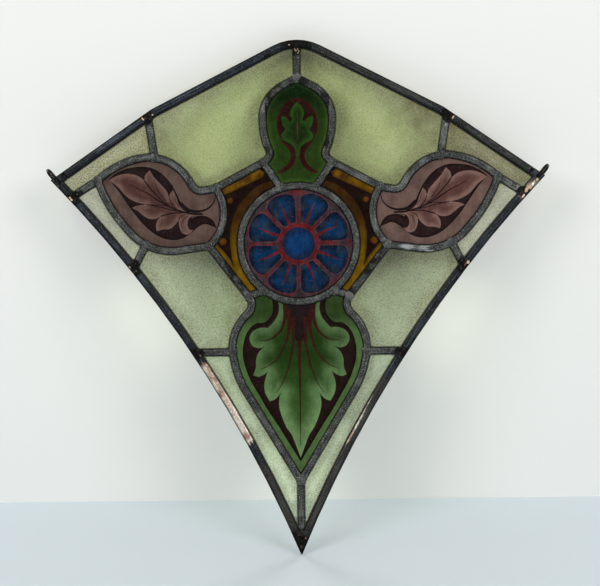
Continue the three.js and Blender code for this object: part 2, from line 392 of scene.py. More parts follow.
def finished_object(name: str, shape: BMesh, material: Material, slot: str,
                    *nodes: str) -> Object:
    """Turns a bmesh into a piece that rides on the panel.

    Args:
        name: The piece's name.
        shape: Its mesh, in metres, in the frame's place.
        material: The material it wears.
        slot: The record's material slot it stands for, which is not used.
        nodes: CAD nodes that it replaces.

    Returns:
        The new object.
    """
    piece = plain_object(name, shape, material)
    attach(piece, BODY)
    if nodes:
        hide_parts(*nodes)
    log.info("%s: %d faces", name, len(piece.data.polygons))
    return piece


def plane_points(mesh: Mesh) -> np.ndarray:
    """Returns a mesh's corners as points in the panel's plane, in millimetres."""
    places = np.empty(len(mesh.vertices) * 3)
    mesh.vertices.foreach_get("co", places)
    return places.reshape(-1, 3)[:, [0, 2]] / MM


def write_values(mesh: Mesh, name: str, values: np.ndarray) -> None:
    """Writes one number on each corner of a mesh, for its material to read."""
    mesh.attributes.new(name, "FLOAT", "POINT").data.foreach_set("value", values)


def wobble(x: float, z: float, scale: float, seed: float = 0.0) -> float:
    """Returns smooth noise from about -1 to 1 at a place in millimetres."""
    return noise.noise(Vector((x / scale, seed, z / scale)))


# Finishes


# Where a noise pattern has the middle part of its values.
MIDDLE: Span = (0.3, 0.7)


@dataclass(frozen=True)
class Relief:
    """How a surface stands out under the light: its depth in millimetres and its strength."""

    depth: float
    strength: float


@dataclass(frozen=True)
class Pattern:
    """A noise pattern over a piece's own place.

    The scale says how many lumps lie in a metre, detail and rough how fine it goes and how strongly,
    shift moves it so that two are unlike, and stretch squeezes it along each axis.
    """

    scale: float
    detail: float = 3.0
    rough: float = 0.5
    shift: float = 0.0
    stretch: Colour = (1, 1, 1)


class NodeSketch:
    """A material's node tree with short ways to add and link nodes."""

    def __init__(self, name: str) -> None:
        """Starts an empty material with a Principled shader and its output."""
        self.material = bpy.data.materials.new(name)
        self.material.use_nodes = True
        self.tree = self.material.node_tree
        self.tree.nodes.clear()
        self.output = self.node("OutputMaterial")
        self.shader = self.node("BsdfPrincipled")
        self.link(self.shader.outputs[0], self.output.inputs["Surface"])
        self.place = self.node("TexCoord").outputs["Object"]

    def node(self, kind: str, **inputs: "Socket | float | Colour") -> Node:
        """Adds a shader node, with numbers or links for its inputs and _ for a space in their names."""
        made = self.tree.nodes.new(f"ShaderNode{kind}")
        for name, value in inputs.items():
            self.feed(made.inputs[name.replace("_", " ")], value)
        return made

    def feed(self, target: Socket, value: "Socket | float | Colour") -> None:
        """Gives a socket a number, a colour or a link.

        Args:
            target: The socket that is fed.
            value: A number, a tuple of numbers, or the socket to link from.
        """
        if isinstance(value, (int, float)):
            target.default_value = value
        elif isinstance(value, tuple):
            target.default_value = (*value, 1.0)[: len(target.default_value)]
        else:
            self.link(value, target)

    def link(self, source: Socket, target: Socket) -> None:
        """Links one socket to another."""
        self.tree.links.new(source, target)

    def noise(self, pattern: Pattern) -> Socket:
        """Returns the value of a noise pattern over the piece's own place."""
        shift = (pattern.shift,) * 3
        moved = self.node("Mapping", Vector=self.place, Location=shift, Scale=pattern.stretch)
        return self.node("TexNoise", Vector=moved.outputs["Vector"], Scale=pattern.scale,
                         Detail=pattern.detail, Roughness=pattern.rough).outputs["Fac"]

    def specks(self, scale: float) -> Socket:
        """Returns the distance to the nearest of many scattered specks."""
        return self.node("TexVoronoi", Vector=self.place, Scale=scale).outputs["Distance"]

    def attribute(self, name: str, output: str = "Fac") -> Socket:
        """Returns what one of the piece's own attributes holds."""
        reader = self.node("Attribute")
        reader.attribute_name = name
        return reader.outputs[output]

    def spread(self, value: Socket, span: Span, result: Span = (0.0, 1.0)) -> Socket:
        """Returns a value moved smoothly from one span to another and held inside it.

        Args:
            value: The value.
            span: Where it comes from; the first end may be the higher.
            result: Where it goes.

        Returns:
            The moved value.
        """
        mover = self.node("MapRange", Value=value, From_Min=span[0], From_Max=span[1],
                          To_Min=result[0], To_Max=result[1])
        mover.interpolation_type = "SMOOTHSTEP"
        return mover.outputs["Result"]

    def math(self, operation: str, *values: "Socket | float") -> Socket:
        """Returns the result of one sum on sockets or numbers.

        Args:
            operation: The sum, as the math node names it.
            values: What it works on.

        Returns:
            The result.
        """
        made = self.node("Math")
        made.operation = operation
        for socket, value in zip(made.inputs, values):
            self.feed(socket, value)
        return made.outputs[0]

    def times(self, first: "Socket | float", second: "Socket | float") -> Socket:
        """Returns the product of two sockets or numbers."""
        return self.math("MULTIPLY", first, second)

    def sum_of(self, *parts: tuple[Socket, float]) -> Socket:
        """Returns the sum of two values, each given with its share."""
        return self.math("ADD", *(self.times(*part) for part in parts))

    def roughened(self, value: Socket, pattern: Socket, amount: float) -> Socket:
        """Returns a value moved up and down by a pattern, so that its bounds turn out ragged."""
        return self.math("ADD", value, self.spread(pattern, MIDDLE, (-amount, amount)))

    def blend(self, amount: "Socket | float", under: "Socket | Colour", over: "Socket | Colour",
              way: str = "MIX") -> Socket:
        """Returns one colour laid over another.

        Args:
            amount: How much of the upper colour shows.
            under: The lower colour.
            over: The upper colour.
            way: The blend, such as MIX or MULTIPLY.

        Returns:
            The mixed colour.
        """
        made = self.node("Mix")
        made.data_type = "RGBA"
        made.blend_type = way
        for number, value in ((0, amount), (6, under), (7, over)):
            self.feed(made.inputs[number], value)
        return made.outputs[2]

    def lay(self, under: "Socket | Colour", over: "Socket | Colour", pattern: Socket, span: Span,
            share: float = 1.0) -> Socket:
        """Returns a colour with another laid over it where a pattern passes through a span.

        Args:
            under: The lower colour.
            over: The upper colour.
            pattern: What decides where the upper colour lies.
            span: The pattern's values from none of the upper colour to its full share.
            share: How much of the upper colour shows at most.

        Returns:
            The mixed colour.
        """
        return self.blend(self.spread(pattern, span, (0.0, share)), under, over)

    def bump(self, height: Socket, relief: Relief) -> None:
        """Gives the shader a relief from a height between 0 and 1."""
        made = self.node("Bump", Height=height, Distance=relief.depth * MM, Strength=relief.strength)
        self.link(made.outputs["Normal"], self.shader.inputs["Normal"])

    def see_through(self, where: Socket, colour: Colour = (1, 1, 1)) -> None:
        """Lets light pass straight through the surface, tinted by a colour, where a socket says so.

        Args:
            where: A value of 1 where light passes.
            colour: The tint it takes on.
        """
        passing = self.node("BsdfTransparent", Color=colour)
        mix = self.node("MixShader")
        for socket, source in zip(mix.inputs, (where, self.shader.outputs[0], passing.outputs[0])):
            self.link(source, socket)
        self.link(mix.outputs[0], self.output.inputs["Surface"])

    def set(self, **values: "Socket | float | Colour") -> None:
        """Feeds the shader's inputs, with _ for a space in a socket's name."""
        for name, value in values.items():
            self.feed(self.shader.inputs[name.replace("_", " ")], value)


@dataclass(frozen=True)
class Putty:
    """Dark cement left along the lead, with painted shade along the lead's edges: its colour, where it
    thins out from and to, and its strength.
    """

    colour: Colour
    full_to: float
    gone_at: float
    strength: float = 0.95
    ragged: float = 0.2

    def laid_on(self, sketch: NodeSketch, colour: Socket, pattern: Socket) -> Socket:
        """Returns a colour with the dark band of cement and painted shade over it, its bound made ragged by
        a pattern.
        """
        reach = sketch.roughened(sketch.attribute("edge"), pattern, self.ragged)
        share = sketch.spread(reach, (self.full_to, self.gone_at), (self.strength, 0.0))
        return sketch.blend(share, colour, self.colour)


@dataclass(frozen=True)
class LeadFinish:
    """Old lead: a dull skin with paler rubbed grains, dark pits, long streaks, black edges partly of
    painted shade, and bright runs partly of painted sheen.
    """

    name: str
    skin: Colour
    rubbed: Colour
    pits: Colour
    # The bright and copper tones are painted sheen and highlights, with some real rubbing, laid where the
    # lead is marked as rubbed.
    bright: Colour
    copper: Colour
    metal: float
    roughness: float
    grain: float
    streak: float
    patchy: float
    putty: Putty
    fleck: Colour = tone(196, 196, 190)
    dust: Colour = tone(72, 70, 64)
    soot: Colour = tone(7, 6, 6)
    soot_spot: Colour = tone(58, 51, 44)
    patch_pattern: Pattern = Pattern(110, 5, 0.6)
    fine_pattern: Pattern = Pattern(1250, 3, 0.7, 3.1)
    fleck_pattern: Pattern = Pattern(240, 2, shift=12.0)
    warm_pattern: Pattern = Pattern(75, 3, shift=8.2)
    speck_scale: float = 620.0
    speck_size: Span = (0.24, 0.14)
    specked: Span = (0.46, 0.6)
    streak_length: float = 40.0
    streak_width: float = 1.5
    streak_detail: float = 4.0
    rubbed_patch: Span = (0.48, 0.72)
    pitted_patch: Span = (0.46, 0.3)
    rubbed_streak: Span = (0.5, 0.72)
    pitted_streak: Span = (0.47, 0.28)
    rubbed_grain: Span = (0.52, 0.6)
    pitted_grain: Span = (0.46, 0.38)
    dusty_streak: Span = (0.35, 0.6)
    dust_share: Span = (0.25, 0.85)
    dust_ragged: float = 0.45
    coppery: Span = (0.46, 0.64)
    skinned: Span = (0.5, 0.36)
    skin_share: float = 0.55
    soot_ragged: float = 0.5
    soot_strength: float = 0.95
    soot_specked: Span = (0.55, 0.68)
    soot_speck_share: float = 0.6
    # The worn span and the spans below shape where the bright painted sheen and rubbing lie.
    worn: Span = (0.2, 1.15)
    worn_bound: Span = (0.02, 0.4)
    worn_patchy: float = 0.35
    worn_streaky: float = 0.45
    broken: Span = (0.25, 0.75)
    broken_bound: Span = (0.02, 0.3)
    sheen_patch: Span = (0.35, 0.7)
    sheen_spread: float = 0.08
    worn_sheen: float = 0.12
    sooted_dullness: float = 0.4
    mirror_share: float = 0.3
    patch_relief: float = 0.6
    fine_relief: float = 0.5
    relief: Relief = Relief(0.3, 0.7)

    def material(self) -> Material:
        """Returns the lead's material."""
        sketch = NodeSketch(self.name)
        patches = sketch.noise(self.patch_pattern)
        fine = sketch.noise(self.fine_pattern)
        streaks = self.streaks(sketch)
        colour = self.skin
        for pattern, rubbed, pitted, share in (
            (patches, self.rubbed_patch, self.pitted_patch, self.patchy),
            (streaks, self.rubbed_streak, self.pitted_streak, self.streak),
            (fine, self.rubbed_grain, self.pitted_grain, self.grain),
        ):
            colour = sketch.lay(colour, self.rubbed, pattern, rubbed, share)
            colour = sketch.lay(colour, self.pits, pattern, pitted, share)
        specks = sketch.spread(sketch.specks(self.speck_scale), self.speck_size, (0.0, self.grain))
        flecks = sketch.times(specks, sketch.spread(sketch.noise(self.fleck_pattern), self.specked))
        colour = sketch.blend(flecks, colour, self.fleck)
        dust = self.ragged(sketch, "dust", fine, self.dust_ragged)
        dust = sketch.times(dust, sketch.spread(streaks, self.dusty_streak, self.dust_share))
        colour = sketch.blend(dust, colour, self.dust)
        # Bright and coppery metal covers the rubbed places, which are partly painted sheen and highlights.
        worn = self.worn_mask(sketch, patches, streaks)
        metal = sketch.lay(self.bright, self.copper, sketch.noise(self.warm_pattern), self.coppery)
        metal = sketch.lay(metal, self.skin, fine, self.skinned, self.skin_share)
        colour = sketch.blend(worn, colour, metal)
        soot = self.ragged(sketch, "soot", patches, self.soot_ragged)
        sooted = sketch.lay(self.soot, self.soot_spot, fine, self.soot_specked, self.soot_speck_share)
        colour = sketch.blend(sketch.times(soot, self.soot_strength), colour, sooted)
        colour = self.putty.laid_on(sketch, colour, fine)
        sketch.set(Base_Color=colour, Roughness=self.sheen(sketch, patches, worn, soot),
                   Metallic=self.metal, Specular_IOR_Level=self.mirror_share)
        sketch.bump(sketch.sum_of((patches, self.patch_relief), (fine, self.fine_relief)), self.relief)
        return sketch.material

    def sheen(self, sketch: NodeSketch, patches: Socket, worn: Socket, soot: Socket) -> Socket:
        """Returns the roughness: smoother in patches and where worn, duller under soot.

        Args:
            sketch: The material's node tree.
            patches: The broad pattern.
            worn: Where the lead is rubbed bright and where it carries painted sheen.
            soot: Where soot lies.

        Returns:
            The roughness.
        """
        ends = (self.roughness + self.sheen_spread, self.roughness - self.sheen_spread)
        rough = sketch.spread(patches, self.sheen_patch, ends)
        rough = sketch.math("SUBTRACT", rough, sketch.times(worn, self.worn_sheen))
        return sketch.math("ADD", rough, sketch.times(soot, self.sooted_dullness))

    def ragged(self, sketch: NodeSketch, name: str, pattern: Socket, amount: float) -> Socket:
        """Returns an attribute from 0 to 1 with its bounds broken up by a pattern.

        Args:
            sketch: The material's node tree.
            name: The attribute.
            pattern: What breaks up its bounds.
            amount: How far it does.

        Returns:
            The attribute's value with ragged bounds.
        """
        value = sketch.attribute(name)
        broken = sketch.roughened(value, pattern, amount)
        return sketch.times(sketch.spread(broken, self.broken), sketch.spread(value, self.broken_bound))

    def streaks(self, sketch: NodeSketch) -> Socket:
        """Returns noise drawn out along the came, from its place and its distance to the edge."""
        parts = sketch.node("SeparateXYZ", Vector=sketch.place).outputs
        joined = sketch.node(
            "CombineXYZ",
            X=sketch.times(parts["X"], self.streak_length),
            Y=sketch.times(sketch.attribute("edge"), self.streak_width),
            Z=sketch.times(parts["Z"], self.streak_length),
        )
        return sketch.node("TexNoise", Vector=joined.outputs[0], Scale=1.0,
                           Detail=self.streak_detail).outputs["Fac"]

    def worn_mask(self, sketch: NodeSketch, patches: Socket, streaks: Socket) -> Socket:
        """Returns where the lead is rubbed bright and where it carries painted sheen, with ragged bounds.
        """
        rub = sketch.attribute("rub")
        ragged = sketch.roughened(rub, patches, self.worn_patchy)
        ragged = sketch.roughened(ragged, streaks, self.worn_streaky)
        return sketch.times(sketch.spread(ragged, self.worn), sketch.spread(rub, self.worn_bound))


@dataclass(frozen=True)
class SolderFinish:
    """Solder: a body tone with bright and coppery spots that are painted glints; dark and tarnished on the
    border solder, and itself a painted glint on the beads.
    """

    name: str
    tarnish: Colour
    bright: Colour
    copper: Colour
    shine: float
    metal: float
    cloud_pattern: Pattern = Pattern(210, 4, 0.6, 1.7)
    warm_pattern: Pattern = Pattern(60, 2, shift=5.3)
    coppery: Span = (0.46, 0.6)
    shining: Span = (0.52, 0.66)
    dull_to_smooth: Span = (0.4, 0.7)
    roughness: Span = (0.66, 0.34)
    mirror_share: float = 0.2
    relief: Relief = Relief(0.5, 0.6)

    def material(self) -> Material:
        """Returns the solder's material."""
        sketch = NodeSketch(self.name)
        cloud = sketch.noise(self.cloud_pattern)
        metal = sketch.lay(self.bright, self.copper, sketch.noise(self.warm_pattern), self.coppery)
        sketch.set(Base_Color=sketch.lay(self.tarnish, metal, cloud, self.shining, self.shine),
                   Roughness=sketch.spread(cloud, self.dull_to_smooth, self.roughness),
                   Metallic=self.metal, Specular_IOR_Level=self.mirror_share)
        sketch.bump(cloud, self.relief)
        return sketch.material


@dataclass(frozen=True)
class ClearGlassFinish:
    """Pale tinted glass with faint clouds, fine orange-peel grain, and dirt lying along the lead."""

    name: str
    tint: Colour
    cloud: Colour
    grain: float
    grain_scale: float = 820.0
    dirt_reach: float = 15.0
    dirt_amount: float = 0.5
    dirt: Colour = tone(104, 92, 60)
    # A dark line along the lead, partly cement and partly painted shade.
    putty: Putty = Putty(tone(24, 22, 16), 0.1, 1.3, 0.92, 0.3)
    cloud_pattern: Pattern = Pattern(16, 3, 0.5, 2.2)
    drift_pattern: Pattern = Pattern(30, 3, shift=4.4)
    film_pattern: Pattern = Pattern(70, 5, 0.7, 3.3)
    swell_pattern: Pattern = Pattern(55, 2, shift=9.1)
    clouded: Span = (0.36, 0.66)
    grained: Span = (0.45, 0.72)
    drifting: Span = (0.3, 0.75)
    drift: Span = (-4.0, 5.0)
    dirt_grained: Span = (0.35, 0.65)
    dirt_grain: Span = (0.45, 1.0)
    film_share: Span = (0.6, 1.2)
    roughness: float = 0.08
    refraction: float = 1.5
    speckle_relief: float = 0.1
    relief: Relief = Relief(0.5, 0.3)

    def material(self) -> Material:
        """Returns the clear glass's material, with light let through its shadow."""
        sketch = NodeSketch(self.name)
        speckle = sketch.noise(Pattern(self.grain_scale, 3, 0.7, 7.7))
        colour = sketch.lay(self.tint, self.cloud, sketch.noise(self.cloud_pattern), self.clouded)
        grains = sketch.times(sketch.spread(speckle, self.grained), self.grain)
        colour = sketch.blend(grains, colour, self.dirt)
        drift = sketch.spread(sketch.noise(self.drift_pattern), self.drifting, self.drift)
        reach = sketch.math("ADD", sketch.attribute("edge"), drift)
        near = sketch.spread(reach, (0.0, self.dirt_reach), (self.dirt_amount, 0.0))
        near = sketch.times(near, sketch.spread(speckle, self.dirt_grained, self.dirt_grain))
        colour = sketch.blend(near, colour, self.dirt)
        patchy = sketch.spread(sketch.noise(self.film_pattern), MIDDLE, self.film_share)
        # The film lays the dirt colour where dirt lies and where spots of painted shadow lie.
        colour = sketch.blend(sketch.times(sketch.attribute("film"), patchy), colour, self.dirt)
        sketch.set(Base_Color=self.putty.laid_on(sketch, colour, speckle), Transmission_Weight=1.0,
                   Roughness=self.roughness, IOR=self.refraction)
        swell = sketch.noise(self.swell_pattern)
        sketch.bump(sketch.sum_of((swell, 1.0), (speckle, self.speckle_relief)), self.relief)
        both_faces = tuple(math.sqrt(share) for share in self.tint)
        sketch.see_through(sketch.node("LightPath").outputs["Is Shadow Ray"], both_faces)
        return sketch.material


@dataclass(frozen=True)
class FiredPaintFinish:
    """Enamel fired on glass: its painted colours, a brushed matt wash, scratches and a soft gloss.

    The gain is how much of its colour's light the paint gives back.
    """

    name: str
    gain: float
    wash: float
    worn: Colour
    wear: float
    roughness: float = 0.24
    # A dark line along the lead, partly cement and partly painted shade.
    putty: Putty = Putty(tone(10, 9, 8), 0.2, 1.2)
    streak_pattern: Pattern = Pattern(120, 5, 0.6, 6.5)
    brush_pattern: Pattern = Pattern(420, 3, 0.55, 2.9, (1.0, 1.0, 0.16))
    chip_pattern: Pattern = Pattern(1100, 2, 0.6, 1.2)
    streak_share: float = 0.6
    brush_share: float = 0.4
    shaded: Span = (0.32, 0.68)
    chipped: Span = (0.64, 0.74)
    smoother: float = 0.06
    rougher: float = 0.1
    mirror_share: float = 0.12
    chip_relief: float = 0.3
    relief: Relief = Relief(0.12, 0.4)

    def material(self) -> Material:
        """Returns the painted glass's material."""
        sketch = NodeSketch(self.name)
        streaks = sketch.noise(self.streak_pattern)
        brushed = sketch.noise(self.brush_pattern)
        chips = sketch.noise(self.chip_pattern)
        depth = sketch.sum_of((streaks, self.streak_share), (brushed, self.brush_share))
        lightness = (self.gain * (1.0 - self.wash), self.gain * (1.0 + self.wash))
        shade = sketch.spread(depth, self.shaded, lightness)
        grey = sketch.node("CombineColor", Red=shade, Green=shade, Blue=shade).outputs[0]
        colour = sketch.blend(1.0, sketch.attribute("paint", "Color"), grey, "MULTIPLY")
        chipped = sketch.times(sketch.spread(chips, self.chipped), self.wear)
        colour = sketch.blend(chipped, colour, self.worn)
        gloss = (self.roughness - self.smoother, self.roughness + self.rougher)
        sketch.set(Base_Color=self.putty.laid_on(sketch, colour, chips),
                   Roughness=sketch.spread(streaks, MIDDLE, gloss), Specular_IOR_Level=self.mirror_share)
        sketch.bump(sketch.sum_of((streaks, 1.0), (chips, self.chip_relief)), self.relief)
        return sketch.material


@dataclass(frozen=True)
class WireFinish:
    """Black tarnished wire with worn spots."""

    name: str
    skin: Colour
    worn: Colour
    cloud_pattern: Pattern = Pattern(500, 4, 0.65)
    rubbed: Span = (0.52, 0.68)
    rubbed_share: float = 0.8
    metal: float = 0.8
    roughness: float = 0.38
    relief: Relief = Relief(0.15, 0.6)

    def material(self) -> Material:
        """Returns the wire's material."""
        sketch = NodeSketch(self.name)
        cloud = sketch.noise(self.cloud_pattern)
        colour = sketch.lay(self.skin, self.worn, cloud, self.rubbed, self.rubbed_share)
        sketch.set(Base_Color=colour, Metallic=self.metal, Roughness=self.roughness)
        sketch.bump(cloud, self.relief)
        return sketch.material


@dataclass(frozen=True)
class PlainFinish:
    """A plain matt surface for the stage."""

    name: str
    colour: Colour
    one_sided: bool = False
    roughness: float = 0.9
    mirror_share: float = 0.1

    def material(self) -> Material:
        """Returns the surface's material, open from behind where it is one-sided."""
        sketch = NodeSketch(self.name)
        sketch.set(Base_Color=self.colour, Roughness=self.roughness, Specular_IOR_Level=self.mirror_share)
        if self.one_sided:
            behind = sketch.node("NewGeometry").outputs["Backfacing"]
            shadow = sketch.node("LightPath").outputs["Is Shadow Ray"]
            sketch.see_through(sketch.math("MAXIMUM", behind, shadow))
        return sketch.material


class PaleKind(Enum):
    """The kinds of clear glass in the panel; the upper panes', lower panes' and side strips' kinds carry
    painted shade and painted light in their tints.
    """

    WARM = "warm"
    COOL = "cool"
    GREEN = "green"
    GRAINY = "grainy"
    LIGHT = "light"


class Finishes:
    """All the panel's materials, made once."""

    def __init__(self) -> None:
        """Makes each material."""
        # The lead's dark bands along its edges are partly cement and partly painted shade.
        self.lead = LeadFinish(
            name="lead", skin=tone(40, 43, 42), rubbed=tone(120, 123, 120), pits=tone(13, 13, 13),
            bright=tone(168, 173, 176), copper=tone(140, 144, 144), metal=0.35, roughness=0.5,
            grain=0.55, streak=0.5, patchy=0.6, putty=Putty(tone(13, 12, 11), 0.15, 0.95, ragged=0.15),
        ).material()
        # The border's dark bands along both edges of the came are painted shade, with cement only where it
        # meets the glass.
        self.border = LeadFinish(
            name="border_lead", skin=tone(12, 16, 20), rubbed=tone(78, 88, 98), pits=tone(4, 5, 6),
            bright=tone(252, 241, 222), copper=tone(184, 146, 124), metal=0.5, roughness=0.4,
            grain=0.35, streak=0.95, patchy=0.3, putty=Putty(tone(13, 12, 11), 0.15, 2.3, ragged=0.15),
        ).material()
        self.border_solder = SolderFinish(
            name="border_solder", tarnish=tone(10, 9, 9), bright=tone(92, 84, 76),
            copper=tone(104, 78, 62), shine=0.4, metal=0.4,
        ).material()
        # The bright and copper beads are painted glints: small near-white and coppery lumps set where
        # highlights shine.
        self.bright_bead = SolderFinish(
            name="bright_bead", tarnish=tone(196, 168, 140), bright=tone(254, 246, 228),
            copper=tone(236, 204, 170), shine=0.9, metal=0.1,
        ).material()
        self.copper_bead = SolderFinish(
            name="copper_bead", tarnish=tone(84, 62, 50), bright=tone(244, 218, 190),
            copper=tone(206, 150, 116), shine=0.9, metal=0.25,
        ).material()
        self.wire = WireFinish("loop_wire", skin=tone(24, 22, 21), worn=tone(120, 100, 84)).material()
        self.pale = self.pale_glass()
        self.lobe_paint = FiredPaintFinish(
            "lobe_paint", gain=0.91, wash=0.16, worn=tone(120, 100, 92), wear=0.3).material()
        # The left lobe's paint is a darker copy of the right's: painted shade.
        self.shaded_lobe_paint = FiredPaintFinish(
            "shaded_lobe_paint", gain=0.68, wash=0.18, worn=tone(110, 90, 82), wear=0.3).material()
        self.leaf_paint = FiredPaintFinish(
            "leaf_paint", gain=0.6, wash=0.2, worn=tone(90, 110, 66), wear=0.2).material()
        self.top_leaf_paint = FiredPaintFinish(
            "top_leaf_paint", gain=0.72, wash=0.2, worn=tone(90, 110, 66), wear=0.25).material()
        self.amber_paint = FiredPaintFinish(
            "amber_paint", gain=0.4, wash=0.34, worn=tone(80, 62, 24), wear=0.3).material()
        self.roundel_paint = FiredPaintFinish(
            "roundel_paint", gain=0.58, wash=0.45, worn=tone(112, 92, 98), wear=0.55).material()

    @staticmethod
    def pale_glass() -> dict[PaleKind, Material]:
        """Returns the material of each kind of clear glass."""
        kinds = {
            # The upper panes' tint is darkened as painted shade, the lower panes' and side strips' tints
            # lightened as painted light.
            PaleKind.WARM: ClearGlassFinish(
                "warm_glass", tint=(0.66, 0.72, 0.49), cloud=(0.58, 0.645, 0.415), grain=0.38),
            PaleKind.COOL: ClearGlassFinish(
                "cool_glass", tint=(0.81, 0.89, 0.65), cloud=(0.71, 0.79, 0.55), grain=0.55),
            PaleKind.GREEN: ClearGlassFinish(
                "green_glass", tint=(0.83, 0.94, 0.69), cloud=(0.78, 0.89, 0.63), grain=0.42,
                dirt_reach=8.0),
            PaleKind.GRAINY: ClearGlassFinish(
                "grainy_glass", tint=(0.74, 0.77, 0.55), cloud=(0.67, 0.71, 0.48), grain=0.85,
                grain_scale=700.0),
            PaleKind.LIGHT: ClearGlassFinish(
                "light_glass", tint=(0.97, 0.985, 0.8), cloud=(0.93, 0.95, 0.76), grain=0.45,
                grain_scale=700.0, dirt_reach=6.0, dirt_amount=0.3),
        }
        return {kind: finish.material() for kind, finish in kinds.items()}


# Lead


class Patina(Enum):
    """What lies on a stretch of lead, painted sheen among it, named as the mesh attribute that holds it."""

    # Partly rubbed bright lead, partly painted sheen and highlights.
    RUBBED = "rub"
    DUSTY = "dust"
    SOOTED = "soot"


@dataclass(frozen=True)
class Stretch:
    """A stretch of lead with one kind of cover, from one place to another: soot, dust, or rubbing with
    painted sheen.
    """

    patina: Patina
    start: Point
    end: Point
    strength: float = 1.0
    half_width: float = 9.0
    soft_end: float = 14.0
    end_share: float = 0.1

    def at(self, places: np.ndarray) -> np.ndarray:
        """Returns how strong the cover is at each place.

        Args:
            places: Places on the panel, one row each.

        Returns:
            One strength for each place.
        """
        run = np.subtract(self.end, self.start)
        length = np.linalg.norm(run)
        offset = places - self.start
        along = offset @ run / length
        away = np.abs(offset @ np.array([-run[1], run[0]]) / length)
        ends = np.clip(np.minimum(along, length - along) / self.soft_end + self.end_share, 0, 1)
        return self.strength * ends * (away < self.half_width)


@dataclass(frozen=True)
class Bead:
    """A small lump at a border joint: dark solder, or a bright bead that is a painted glint.

    Its place is measured along the border towards the apex, and outward across it.
    """

    along: float
    outward: float
    half_length: float
    half_width: float


@dataclass(frozen=True)
class BorderJoint:
    """A joint on the right of the border, with the direction of the border towards the apex there."""

    x: float
    z: float
    direction: float

    def place(self, along: float, outward: float, hand: Hand) -> Point:
        """Returns a place measured from the joint, on one hand of the panel.

        Args:
            along: How far along the border, towards the apex.
            outward: How far across it, away from the panel's middle.
            hand: The panel's hand.

        Returns:
            The place, in millimetres.
        """
        angle = math.radians(self.direction)
        x = self.x + along * math.cos(angle) + outward * math.sin(angle)
        z = self.z + along * math.sin(angle) - outward * math.cos(angle)
        return (hand * x, z)

    def slope(self, hand: Hand) -> float:
        """Returns the border's slope at the joint, in degrees, on one hand of the panel."""
        return self.direction if hand is Hand.RIGHT else 180 - self.direction


UPPER_JOINT = BorderJoint(128.0, 49.3, 145.4)
TIP_JOINT = BorderJoint(194.0, -19.2, 47.5)
SIDE_JOINT = BorderJoint(141.0, -81.6, 51.9)
CROSS_JOINT = BorderJoint(88.7, -154.5, 56.8)
BORDER_JOINTS = (UPPER_JOINT, TIP_JOINT, SIDE_JOINT, CROSS_JOINT)


@dataclass(frozen=True)
class Flange:
    """A came's flange: the depth of its flat face in the CAD node, and its crowned section.

    The lip stands at its edges, the crown in its middle, both over the channel, and the rounding
    reaches in from each edge.
    """

    face: float
    lip: float
    crown: float
    rounding: float


